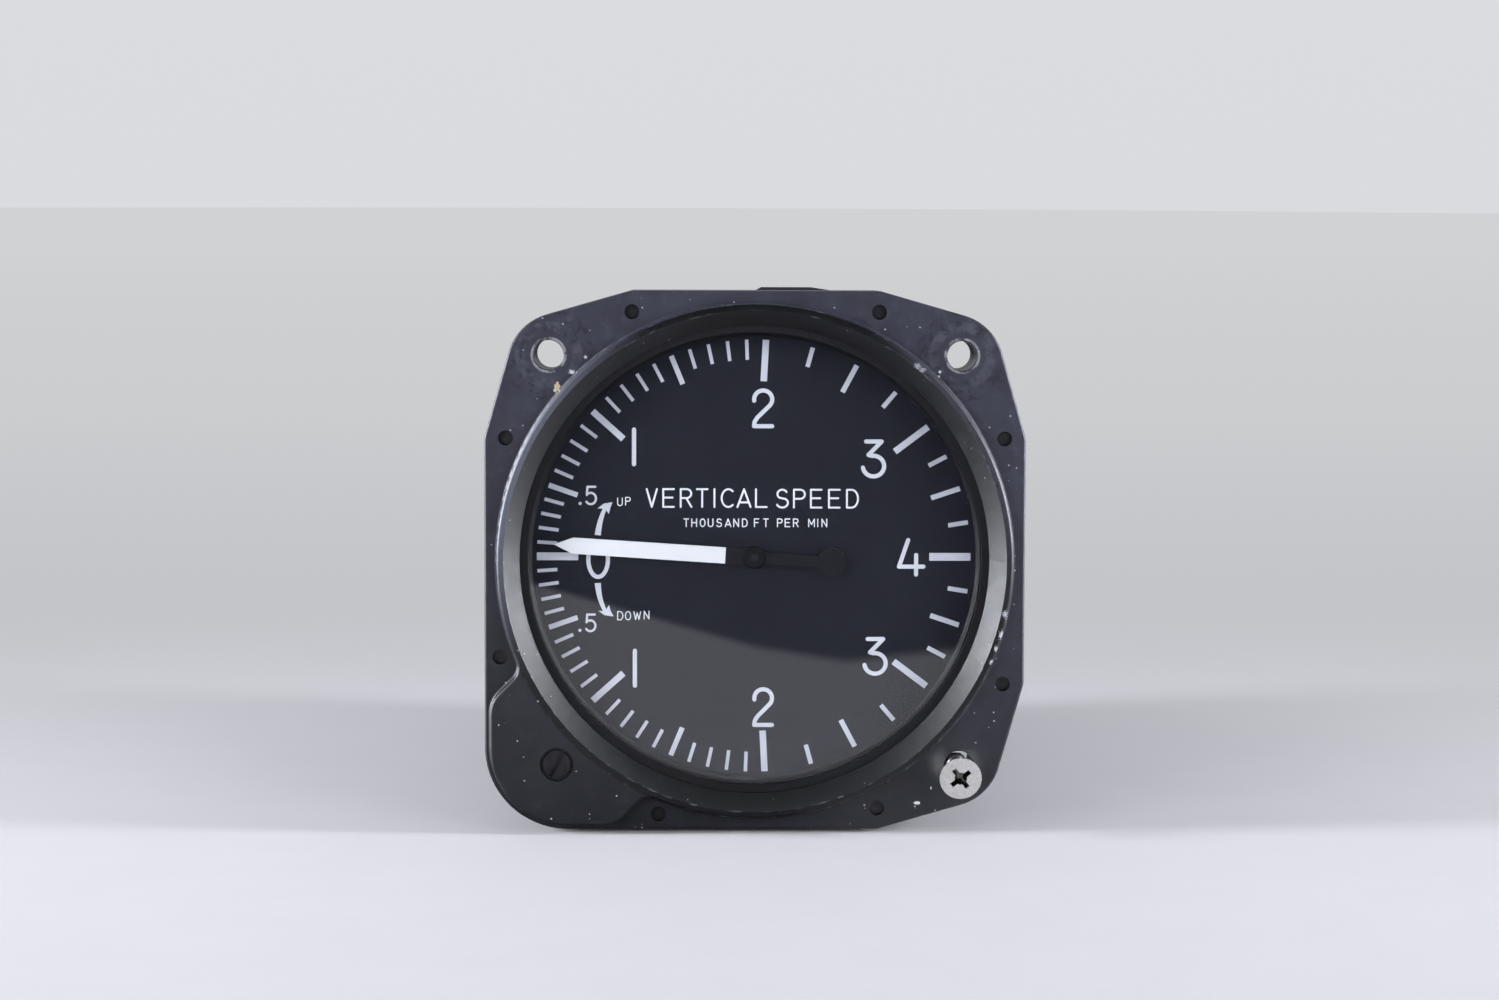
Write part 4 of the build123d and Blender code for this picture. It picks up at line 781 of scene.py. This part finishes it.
@dataclass
class Relief:
    """A mesh of thin raised shapes on a flat face that looks towards -Y, in millimetres.

    It has the face's depth, how far the shapes stand out of it and reach into it, and the step in
    height between one shape and the next.
    """

    face: float
    thickness: float
    sunk: float = 0.02
    stagger: float = 0.0015
    layers: int = 0
    mesh: bmesh.types.BMesh = field(default_factory=bmesh.new)

    def _loops(self, *outlines: Sequence[Point]) -> list[list[Corner]]:
        """The corners of some outlines, on the front and in the back.

        The fronts of crossing strokes differ by a step, so that they don't share a plane.

        Args:
            outlines: Their corners in order, in millimetres.

        Returns:
            A front and a back loop for each outline.
        """
        self.layers += 1
        front = self.face - self.thickness - self.stagger * (self.layers % 4)
        return [
            [self.mesh.verts.new((x * MM, depth * MM, z * MM)) for x, z in outline]
            for outline in outlines
            for depth in (front, self.face + self.sunk)
        ]

    def prism(self, outline: Sequence[Point]) -> None:
        """Add a raised shape.

        Args:
            outline: Its corners in order, in millimetres.
        """
        front, back = self._loops(outline)
        bridge(self.mesh, front, back)
        caps = [self.mesh.faces.new(front), self.mesh.faces.new(list(reversed(back)))]
        for cap in caps:
            cap.normal_update()
        bmesh.ops.triangulate(self.mesh, faces=caps, ngon_method="EAR_CLIP")

    def pen(self, path: Sequence[Point], width: float, corner: float = 24.0) -> None:
        """Draw a path with a round pen.

        Args:
            path: The path's points in millimetres.
            width: The pen's width.
            corner: The turn in degrees from which a bend is a corner, where the pen stops and starts again.
        """
        runs: list[list[Vector]] = [[]]
        points = [Vector(p) for p in path]
        for i, point in enumerate(points):
            if runs[-1] and (point - runs[-1][-1]).length < 1e-6:
                continue
            runs[-1].append(point)
            if 0 < i < len(points) - 1 and len(runs[-1]) > 1:
                turn = (point - runs[-1][-2]).angle(points[i + 1] - point, 0.0)
                if math.degrees(turn) > corner:
                    runs.append([point])
        for run in runs:
            if len(run) > 1:
                self._run(run, width / 2)

    def dot(self, centre: Point, radius: float, sides: int = 20) -> None:
        """Draw a round dot."""
        turns = (2 * math.pi * i / sides for i in range(sides))
        self.prism([(centre[0] + radius * math.cos(a), centre[1] + radius * math.sin(a)) for a in turns])

    def _run(self, run: Sequence[Vector], half: float) -> None:
        """Draw one smooth run of a path, with round ends or as a closed ring.

        Args:
            run: The run's points.
            half: Half of the pen's width.
        """
        closed = (run[0] - run[-1]).length < 1e-4
        if closed:
            run = run[:-1]
        sides: tuple[list[Point], list[Point]] = ([], [])
        count = len(run)
        for i, point in enumerate(run):
            before = run[i - 1] if closed or i else point
            after = run[(i + 1) % count] if closed or i < count - 1 else point
            along = (after - before).normalized()
            across = Vector((-along.y, along.x))
            sides[0].append(tuple(point + across * half))
            sides[1].append(tuple(point - across * half))
        if closed:
            loops = self._loops(*sides)
            for one, two in ((0, 2), (2, 3), (3, 1), (1, 0)):
                bridge(self.mesh, loops[one], loops[two])
            return
        outline = list(sides[0])
        outline += self._cap(run[-1], run[-1] - run[-2], half)
        outline += list(reversed(sides[1]))
        outline += self._cap(run[0], run[0] - run[1], half)
        self.prism(list(reversed(outline)))

    @staticmethod
    def _cap(end: Vector, along: Vector, half: float, steps: int = 8) -> list[Point]:
        """The inner points of a half round at a path's end, from its left side to its right."""
        turns = (math.atan2(along.y, along.x) + math.pi / 2 - math.pi * i / steps for i in range(1, steps))
        return [(end.x + half * math.cos(a), end.y + half * math.sin(a)) for a in turns]

    def piece(self, name: str) -> bpy.types.Object:
        """Turn the mesh into an object of that name."""
        bmesh.ops.recalc_face_normals(self.mesh, faces=self.mesh.faces)
        return bring_in(self.mesh, name)


def bridge(mesh: bmesh.types.BMesh, one: Sequence[Corner], two: Sequence[Corner]) -> None:
    """Close the band between two loops of as many corners."""
    for corners in zip(one, [*one[1:], one[0]], [*two[1:], two[0]], two):
        mesh.faces.new(corners)


def bring_in(mesh: bmesh.types.BMesh, name: str) -> bpy.types.Object:
    """Turn a finished mesh into an object of the scene.

    Args:
        mesh: The mesh, which is used up.
        name: The object's name.

    Returns:
        The object.
    """
    data = bpy.data.meshes.new(name)
    mesh.to_mesh(data)
    mesh.free()
    made = bpy.data.objects.new(name, data)
    bpy.context.scene.collection.objects.link(made)
    return made


def dress(finish: Finish, *nodes: str) -> Material:
    """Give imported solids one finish.

    Args:
        finish: The finish.
        nodes: The solids' names.

    Returns:
        Its material.
    """
    material = finish.material()
    for node in nodes:
        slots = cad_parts[node].data.materials
        slots.clear()
        slots.append(material)
        LOG.info("%s: %s", node, material.name)
    return material


def settle(piece: bpy.types.Object, body: Body, material: Material) -> None:
    """Finish a new piece and hang it on its body.

    Args:
        piece: The new piece.
        body: The body that it moves with.
        material: Its finish.
    """
    piece.data.materials.append(material)
    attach(piece, body.value)
    LOG.info("%s on %s: %s", piece.name, body.value, material.name)


@dataclass
class Thread:
    """A screw thread's ridge round an axis, in millimetres.

    Filled is the share of the pitch that its foot takes, and flat the crest's share of that. It grows
    and fades over some turns at its ends.
    """

    foot: Vector
    along: Vector
    length: float
    root: float
    crest: float
    pitch: float
    sunk: float = 0.04
    filled: float = 0.88
    flat: float = 0.12
    fading: float = 0.5
    steps: int = 28

    def piece(self, name: str) -> bpy.types.Object:
        """Wind the ridge as one closed mesh that fades out at both ends.

        Args:
            name: The object's name.

        Returns:
            The object.
        """
        mesh = bmesh.new()
        inward = -1 if self.crest > self.root else 1
        across = self.along.orthogonal().normalized()
        upward = self.along.cross(across)
        count = round(self.length / self.pitch * self.steps)
        half = self.pitch * self.filled / 2
        loops = []
        for i in range(count + 1):
            turn = 2 * math.pi * i / self.steps
            spoke = across * math.cos(turn) + upward * math.sin(turn)
            middle = self.foot + self.along * (half + (self.length - 2 * half) * i / count)
            full = min(1.0, *(steps / (self.steps * self.fading) for steps in (i, count - i)))
            inside = self.root + inward * self.sunk
            peak = inside + (self.crest - inside) * max(full, 0.02)
            wide = half * max(full, 0.3)
            flat = self.flat * wide
            profile = ((inside, -wide), (peak, -flat), (peak, flat), (inside, wide))
            loops.append([mesh.verts.new((middle + spoke * r + self.along * t) * MM) for r, t in profile])
        for one, two in zip(loops, loops[1:]):
            bridge(mesh, one, two)
        mesh.faces.new(loops[0])
        mesh.faces.new(list(reversed(loops[-1])))
        bmesh.ops.recalc_face_normals(mesh, faces=mesh.faces)
        return bring_in(mesh, name)


@dataclass
class Housing:
    """Bezel and case castings, with the screws and seals that join them."""

    hole_inset: float = 31.435
    turned: Triple = (36.05, 38.3, 39.35)
    # Painted shade low on the bezel and painted light at its top right, as shares of its paint colour.
    painted_shading: tuple[float, float] = (0.42, 1.45)
    lean_reach: float = 0.45
    lean_mouth: float = -141.3
    lean_tip: float = 157.4
    lean_run: float = 3.5
    screw_proud: float = 6.0
    screw_root: float = 1.36
    screw_crest: float = 1.71
    thread_start: float = 2.3
    thread_end: float = 9.2
    screw_pitch: float = 0.794
    port_radius: float = 4.9
    port_crest: float = 4.42
    port_floor: float = 86.6
    port_length: float = 9.0
    port_pitch: float = 0.941
    chips: tuple[Chip, ...] = (
        Chip((-30.16, 0.0, 26.56), 0.52, (0.53, 0.46, 0.27), 0.30, (1.25, 1.0, 0.75)),
        Chip((-30.45, 0.0, 26.05), 0.24, (0.62, 0.60, 0.52), 0.15),
        Chip((-27.89, 0.0, 28.84), 0.34, (0.60, 0.61, 0.66), 0.26, (0.85, 1.0, 1.2)),
        Chip((-25.85, 0.0, 31.1), 0.20, (0.50, 0.51, 0.55), 0.15),
        Chip((25.00, 0.0, -37.21), 0.30, (0.68, 0.68, 0.70), 0.12, (0.62, 1.0, 1.3)),
        Chip((27.14, 0.0, -34.89), 0.15, (0.68, 0.68, 0.70), 0.08, (1.3, 1.0, 0.8)),
        Chip((28.05, 0.0, 28.98), 0.20, (0.60, 0.60, 0.64), 0.16),
        Chip((27.9, 0.0, 28.3), 0.13, (0.60, 0.60, 0.64), 0.12),
        Chip((24.45, -2.0, 29.95), 0.30, (0.24, 0.245, 0.27), 0.30, (0.7, 1.0, 0.9)),
        Chip((25.2, -2.0, 29.3), 0.26, (0.24, 0.245, 0.27), 0.26, (0.7, 1.0, 0.9)),
        Chip((38.08, -2.0, -7.80), 0.40, (0.34, 0.34, 0.38), 0.36, (1.3, 1.0, 0.8)),
        Chip((37.50, -2.0, -11.02), 0.36, (0.34, 0.34, 0.38), 0.34, (1.3, 1.0, 0.7)),
        Chip((36.75, -2.0, -13.17), 0.32, (0.34, 0.34, 0.38), 0.30, (1.3, 1.0, 0.8)),
        Chip((36.16, -2.0, -15.16), 0.30, (0.34, 0.34, 0.38), 0.30),
    )

    def build(self) -> None:
        """Dress the castings, screws and seals, and cut the threads."""
        inset = self.hole_inset
        holes = ((-inset, 0.0, inset), (inset, 0.0, inset))
        wear_and_sheen = {"chips": self.chips, "holes": holes, "turned": self.turned, "painted_shading": self.painted_shading}
        dress(CastPaint("bezel_paint", 0.8, **wear_and_sheen), "bezel")
        casting = dress(CastPaint("case_paint", 0.3, roughness=0.5), "case")
        dress(Rubber("black_rubber"), "flange_gasket", "glass_gasket", "tube_seal", "screw_seal")
        dress(Enamel("inner_black", (0.004, 0.004, 0.006), 0.5, grain=0.3, gloss=0.25), "spacer_ring")
        dress(ClearGlass("cover_glass"), "cover_glass")
        dark = (0.02, 0.02, 0.02)
        dress(Metal("black_oxide", (0.055, 0.055, 0.06), 0.42, dark, 0.6), "assembly_screws")
        dress(Metal("blackened_steel", (0.06, 0.06, 0.065), 0.34, dark, 0.5), "zero_adjust_screw")
        dress(Porous("sintered_bronze", (0.42, 0.28, 0.13), 1.0), "inlet_filter")
        top, outward = self._screw_axis()
        bright, dull = (0.68, 0.67, 0.65), (0.40, 0.38, 0.35)
        stainless = Metal("stainless_steel", bright, 0.27, dull, 0.35, recess=(top, outward))
        foot, length = top - outward * self.thread_end, self.thread_end - self.thread_start
        ridge = Thread(foot, outward, length, self.screw_root, self.screw_crest, self.screw_pitch)
        steel = dress(stainless, "mounting_screw")
        settle(ridge.piece("mounting_screw_thread"), Body.HOUSING, steel)
        floor, back = Vector((0.0, self.port_floor, 0.0)), Vector((0.0, 1.0, 0.0))
        liner = Thread(floor, back, self.port_length, self.port_radius, self.port_crest, self.port_pitch)
        settle(liner.piece("static_port_thread"), Body.HOUSING, casting)

    def _screw_axis(self) -> tuple[Vector, Vector]:
        """The middle of the loose screw's face and its outward axis, as it leans in its hole.

        Returns:
            The point in millimetres and the unit vector.
        """
        turns = (math.radians(turn) for turn in (self.lean_mouth, self.lean_tip))
        mouth, tip = (Vector((math.cos(a), 0.0, math.sin(a))) * self.lean_reach for a in turns)
        outward = ((mouth - tip) / self.lean_run - Vector((0.0, 1.0, 0.0))).normalized()
        middle = Vector((self.hole_inset, 0.0, -self.hole_inset)) + mouth + outward * self.screw_proud
        return middle, outward


@dataclass
class Dial:
    """The dial plate with its printed scale and lettering."""

    face: float = 9.2
    print_thickness: float = 0.05
    dots: tuple[Point, ...] = ((-26.94, 8.22), (-26.99, -11.53))
    dot_radius: float = 0.25
    arrow_half: float = 0.485
    arrow_taper: float = 0.2
    arrow_steps: int = 10
    numerals: tuple[Inscription, ...] = (
        Inscription("2", (-0.37,), 19.94, 26.11, 0.64, 3.44),
        Inscription("2", (-0.19,), -26.65, -20.41, 0.64, 3.39),
        Inscription("3", (16.50,), 12.18, 18.24, 0.64, 3.96),
        Inscription("3", (16.91,), -18.60, -12.53, 0.64, 3.98),
        Inscription("4", (22.23,), -3.07, 2.93, 0.64, 4.43),
        Inscription("1", (-18.94,), 14.01, 20.02, 0.66),
        Inscription("1", (-18.79,), -20.50, -14.40, 0.66),
        Inscription("0", (-26.00,), -3.52, 2.60, 0.64, 3.68),
        Inscription("5", (-26.15,), 7.95, 10.98, 0.34, 1.82),
        Inscription("5", (-26.20,), -11.83, -8.90, 0.34, 1.78),
    )
    words: tuple[Inscription, ...] = (
        Inscription(
            "VERTICAL", (-16.79, -14.23, -11.52, -9.01, -6.30, -5.17, -2.73, 0.14), 7.57, 10.62, 0.29
        ),
        Inscription("SPEED", (3.35, 6.03, 8.66, 11.46, 14.25), 7.50, 10.56, 0.29),
        Inscription("THOUSAND", (-10.95, -9.74, -8.43, -7.19, -5.87, -4.55, -3.23, -1.88), 4.58, 5.93, 0.17),
        Inscription("FT", (-0.02, 1.40), 4.58, 5.95, 0.17),
        Inscription("PER", (3.55, 4.74, 6.03), 4.58, 5.95, 0.17),
        Inscription("MIN", (8.40, 9.80, 10.46), 4.58, 5.92, 0.17),
        Inscription("U", (-21.22,), 7.82, 9.14, 0.155),
        Inscription("P", (-19.98,), 7.94, 9.26, 0.155),
        Inscription("DO", (-21.21, -20.01), -9.97, -8.52, 0.155),
        Inscription("W", (-18.69,), -9.90, -8.55, 0.155),
        Inscription("N", (-17.10,), -9.80, -8.46, 0.155),
    )

    def build(self) -> None:
        """Dress the dial and draw what is printed on it."""
        dress(Enamel("dial_enamel", (0.0085, 0.0095, 0.0165), 0.6, dust=0.9, grain=2.5, gloss=0.2), "dial")
        dress(Enamel("scale_paint", (0.60, 0.62, 0.69), 0.6), "dial_graduations")
        broad = Enamel("numeral_paint", (0.64, 0.66, 0.72), 0.6).material()
        fine = Enamel("legend_paint", (0.82, 0.84, 0.88), 0.6).material()
        for name, group, dots, paint in (
            ("dial_numerals", self.numerals, self.dots, broad),
            ("dial_words", self.words, (), fine),
        ):
            relief = Relief(self.face, self.print_thickness)
            for inscription in group:
                for path in inscription.paths():
                    relief.pen(path, inscription.pen)
            for centre in dots:
                relief.dot(centre, self.dot_radius)
            settle(relief.piece(name), Body.HOUSING, paint)
        self._arrows(broad)

    def _arrows(self, paint: Material) -> None:
        """Draw the two curved arrows that lead from the zero to the words beside it.

        Args:
            paint: Their finish.
        """
        relief = Relief(self.face, self.print_thickness)
        for way, tail, bend, neck, head in (
            (1, (-24.22, 3.30), (-23.98, 5.50), (-23.18, 7.30),
             ((-24.24, 7.47), (-23.30, 8.20), (-21.94, 8.43), (-22.28, 7.51), (-22.49, 6.61))),
            (-1, (-24.21, -4.16), (-24.12, -6.40), (-23.15, -8.40),
             ((-24.16, -8.47), (-23.20, -9.14), (-21.74, -9.37), (-22.23, -8.47), (-22.49, -7.56))),
        ):
            relief.prism(self._arrow(way, Vector(tail), Vector(bend), Vector(neck), head))
        settle(relief.piece("dial_arrows"), Body.HOUSING, paint)

    def _arrow(
        self, way: int, tail: Vector, bend: Vector, neck: Vector, head: Sequence[Point]
    ) -> list[Point]:
        """The outline of one curved arrow whose shaft narrows towards its head.

        Args:
            way: 1 for the upper arrow and -1 for the lower one.
            tail: The middle of the shaft's square end.
            bend: The shaft's control point.
            neck: Where the shaft meets the head.
            head: The head's corners, from its outer barb over its point to the inner barb.

        Returns:
            The outline's corners in order.
        """
        left, right = [], []
        for i in range(self.arrow_steps + 1):
            t = i / self.arrow_steps
            point = tail * (1 - t) ** 2 + bend * (2 * t * (1 - t)) + neck * t**2
            along = ((bend - tail) * (1 - t) + (neck - bend) * t).normalized()
            half = self.arrow_half - self.arrow_taper * t
            aside = Vector((-along.y, along.x)) * half
            left.append(tuple(point + aside))
            right.append(tuple(point - aside))
        if way < 0:
            left, right = right, left
        return [*left, *head, *reversed(right)]


@dataclass
class Pointer:
    """The pointer with its hub, staff and poise."""

    heading: float = 176.352

    def build(self) -> None:
        """Dress the pointer's pieces."""
        angle = math.radians(self.heading)
        dress(PointerPaint("pointer_paint", (math.cos(angle), math.sin(angle))), "pointer")
        dress(Enamel("hub_black", (0.006, 0.006, 0.008), 0.42, grain=0.3, gloss=0.2), "pointer_hub")
        dress(Metal("staff_steel", (0.50, 0.50, 0.52), 0.3, blacked=8.0), "pointer_staff")
        dress(Metal("poise_brass", (0.60, 0.44, 0.20), 0.34, (0.34, 0.22, 0.09), 0.5), "pointer_poise")


@dataclass
class Movement:
    """What the case hides: plates, train, rocking shaft, capsule and leak."""

    brass: tuple[str, ...] = (
        "zero_pinion", "train_pillars", "staff_bushes", "sector_bushes", "hairspring_stud",
        "hairspring_collet", "rocker_brackets", "capsule_nut", "frame_pillars", "inlet_tube",
        "leak_housing", "sector_gear", "drive_arm", "capsule_arm", "capsule_link",
    )
    plates: tuple[str, ...] = ("movement_plate", "rear_plate", "capsule_plate")
    screws: tuple[str, ...] = ("hold_down_screws", "train_screws", "bracket_screws", "frame_screws")
    steel: tuple[str, ...] = ("hold_down_washers", "sector_arbor", "drive_pin", "rocking_shaft")
    grinding: Triple = (1.0, 1.0, 0.12)

    def build(self) -> None:
        """Dress the movement's pieces."""
        dress(Metal("brass", (0.72, 0.52, 0.22), 0.26, (0.42, 0.27, 0.10), 0.4), *self.brass)
        milled, dull = (0.66, 0.67, 0.68), (0.42, 0.42, 0.43)
        dress(Metal("machined_aluminium", milled, 0.34, dull, 0.3, brushed=self.grinding), *self.plates)
        dress(Metal("screw_steel", (0.52, 0.51, 0.50), 0.3), *self.screws)
        dress(Metal("ground_steel", (0.58, 0.58, 0.60), 0.22), *self.steel)
        dress(Metal("spring_steel", (0.30, 0.33, 0.42), 0.25, (0.20, 0.16, 0.28), 0.5), "hairspring")
        dress(Metal("capsule_bronze", (0.74, 0.46, 0.27), 0.3, (0.45, 0.22, 0.12), 0.45), "capsule")
        dress(Porous("porous_ceramic", (0.78, 0.76, 0.70)), "leak_plugs")


@dataclass(frozen=True)
class Lamp:
    """A rectangular lamp that faces the instrument: place and size in metres, watts and colour."""

    name: str
    place: Triple
    size: tuple[float, float]
    power: float
    colour: Colour = (0.94, 0.96, 1.0)


@dataclass
class Studio:
    """The floor, the light and the camera.

    Rest and rear are where the flange and the barrel touch the floor, in millimetres. Shades are the
    far board's glowing colours, from near to far: painted light and shade, lighter and darker by depth
    as light falls on the board. Edges are three lines on the floor in metres, each with its start,
    slope and depth, behind which a mirrored ray sees the dark room. Near is the lit board's colour, eye
    and tilt are the camera's place in millimetres and its turns in degrees, and the lens's focal length
    is given in the photograph's pixels.
    """

    rest_depth: float = 11.65
    rest_height: float = -41.275
    rear_depth: float = 87.0
    rear_height: float = -38.1
    rings: tuple[float, ...] = (0.15, 0.4, 1.0, 4.0)
    sides: int = 48
    shades: tuple[tuple[float, Colour], ...] = (
        (0.0, (0.70, 0.70, 0.74)),
        (0.040, (0.655, 0.66, 0.70)),
        (0.085, (0.575, 0.58, 0.61)),
        (0.13, (0.55, 0.555, 0.585)),
        (0.32, (0.60, 0.61, 0.625)),
        (1.0, (0.64, 0.645, 0.66)),
    )
    edges: tuple[Triple, ...] = ((0.008, 3.99, -0.353), (0.008, 2.18, -0.353), (0.030, -1.23, -0.305))
    horizon: Colour = (0.70, 0.71, 0.735)
    zenith: Colour = (0.74, 0.75, 0.77)
    fill: Colour = (0.62, 0.64, 0.70)
    fill_strength: float = 0.18
    near: Colour = (0.575, 0.56, 0.58)
    eye: Triple = (-10.56, -484.76, 44.84)
    tilt: Triple = (4.180, 1.144, -0.180)
    unlit: Colour = (0.020, 0.022, 0.031)
    focal_pixels: float = 3190.0
    sensor: float = 23.5
    lamps: tuple[Lamp, ...] = (
        Lamp("left_box", (-0.46, -0.46, 0.12), (0.35, 0.35), 2.15),
        Lamp("right_box", (0.46, -0.46, 0.12), (0.35, 0.35), 2.15),
        Lamp("left_strip", (-0.62, -0.06, 0.03), (0.10, 0.44), 13.8, (0.90, 0.93, 1.0)),
        Lamp("right_strip", (0.62, -0.06, 0.03), (0.10, 0.44), 11.4, (0.90, 0.93, 1.0)),
        Lamp("top_box", (0.0, 0.10, 0.95), (0.8, 0.8), 1.6),
    )

    def build(self) -> None:
        """Set everything that isn't part of the object."""
        self._floor()
        self._world()
        self._lamps()
        self._camera()
        bpy.context.scene.view_settings.view_transform = "Standard"

    @property
    def slope(self) -> float:
        """The floor's rise along +Y, as the instrument leans back on its flange and its barrel."""
        return (self.rear_height - self.rest_height) / (self.rear_depth - self.rest_depth)

    def _floor(self) -> None:
        """Lay a pale floor that touches the flange and the end of the barrel."""
        mesh = bmesh.new()
        turns = [2 * math.pi * i / self.sides for i in range(self.sides)]
        loops = [
            [mesh.verts.new(self._on_floor(radius * math.cos(a), radius * math.sin(a))) for a in turns]
            for radius in self.rings
        ]
        mesh.faces.new(loops[0])
        for inner, outer in zip(loops, loops[1:]):
            bridge(mesh, outer, inner)
        floor = bring_in(mesh, "floor")
        floor.data.materials.append(self._floor_paint())

    def _on_floor(self, x: float, y: float) -> Triple:
        """A point of the floor, in metres."""
        return (x, y, (self.rest_height + self.slope * (y / MM - self.rest_depth)) * MM)

    def _floor_paint(self) -> Material:
        """Pale board near the object, which fades further off into a glow painted lighter and darker by
        depth.

        Returns:
            The material.
        """
        made = Surface("floor_board", Roughness=0.75, Specular_IOR_Level=0.2)
        graph = made.graph
        point = graph.place()
        across, depth, _ = graph.axes(point)
        mottle = graph.noise(14.0, 2.0, point, 0.5)
        made.give("Base Color", graph.blend(mottle.rise(0.3, 0.7), scaled(self.near, 0.985), self.near))
        # Painted light and shade: the far board glows lighter and darker by depth, as light falls on it.
        plain = graph.node("ShaderNodeValToRGB", {"stops": self.shades}, {0: (depth + 0.1) / 2.6})
        mirrored = graph.ray("Glossy")
        lines = ((across - start) * slope + reach for start, slope, reach in self.edges)
        # Behind the three lines a mirrored ray sees the dark room instead of the board.
        beyond = (reduce(Signal.smaller, lines) - depth).rise(-0.020, 0.024)
        # Painted shadow seen only by mirrored rays: a dark patch close in front of the flange keeps the top
        # of the bevel dark.
        reflected_shadow = depth.rise(-0.052, -0.036) * depth.rise(0.012, 0.0) * across.rise(0.022, 0.004)
        shade = beyond.larger(reflected_shadow * 0.85) * mirrored
        glow = graph.node("ShaderNodeEmission", inputs={"Color": graph.blend(shade, plain, self.unlit)})
        far = graph.vector("LENGTH", point).rise(0.08, 0.26) * graph.ray("Camera", "Glossy", "Transmission")
        inputs = {0: far.larger(reflected_shadow * mirrored), 1: made.shader, 2: glow}
        made.show(graph.node("ShaderNodeMixShader", inputs=inputs))
        return made.material

    def _world(self) -> None:
        """Soft even light from all round, and the background that the eye, gloss and glass see."""
        world = bpy.data.worlds.new("studio")
        world.use_nodes = True
        bpy.context.scene.world = world
        graph = Graph(world.node_tree)
        _, depth, height = graph.axes(graph.node("ShaderNodeTexCoord", output="Generated"))
        sky = graph.blend(height.rise(0.0, 0.5), self.horizon, self.zenith)
        room = graph.blend(depth.rise(-0.15, 0.25), self.unlit, sky)
        shown = graph.blend(graph.ray("Camera"), room, sky)
        behind = graph.node("ShaderNodeBackground", inputs={"Color": shown, "Strength": 1.0})
        inputs = {"Color": self.fill, "Strength": self.fill_strength}
        around = graph.node("ShaderNodeBackground", inputs=inputs)
        inputs = {0: graph.ray("Camera", "Glossy", "Transmission"), 1: around, 2: behind}
        mixed = graph.node("ShaderNodeMixShader", inputs=inputs)
        output = graph.tree.nodes.new("ShaderNodeOutputWorld")
        graph.tree.links.new(mixed.socket, output.inputs["Surface"])

    def _lamps(self) -> None:
        """Hang two soft boxes in front, two strips at the sides that graze the face, and a weak one above."""
        for plan in self.lamps:
            lamp = bpy.data.lights.new(plan.name, "AREA")
            lamp.shape = "RECTANGLE"
            lamp.size, lamp.size_y = plan.size
            lamp.energy = plan.power
            lamp.color = plan.colour
            holder = bpy.data.objects.new(plan.name, lamp)
            holder.location = plan.place
            holder.rotation_euler = (-Vector(plan.place)).to_track_quat("-Z", "Y").to_euler()
            holder.visible_camera = False
            bpy.context.scene.collection.objects.link(holder)

    def _camera(self) -> None:
        """Stand the camera where the photograph was taken from."""
        pitch, yaw, roll = (math.radians(a) for a in self.tilt)
        turned = Matrix.Rotation(roll, 3, "Z") @ Matrix.Rotation(pitch, 3, "X") @ Matrix.Rotation(yaw, 3, "Y")
        facing = Matrix(((1, 0, 0), (0, 0, -1), (0, 1, 0))) @ turned.transposed()
        lens = bpy.data.cameras.new("photo_camera")
        lens.sensor_width = self.sensor
        lens.lens = self.focal_pixels / PHOTO_WIDTH * self.sensor
        lens.clip_start = 0.01
        holder = bpy.data.objects.new("photo_camera", lens)
        holder.matrix_world = Matrix.Translation(metres(self.eye)) @ facing.to_4x4()
        bpy.context.scene.collection.objects.link(holder)
        bpy.context.scene.camera = holder


def main() -> None:
    """Build the instrument's looks and the studio, in order."""
    logging.basicConfig(level=logging.INFO, format="%(name)s: %(message)s")
    for assembly in (Housing(), Dial(), Pointer(), Movement(), Studio()):
        LOG.info("building %s", type(assembly).__name__)
        assembly.build()


if __name__ == "__main__":
    main()
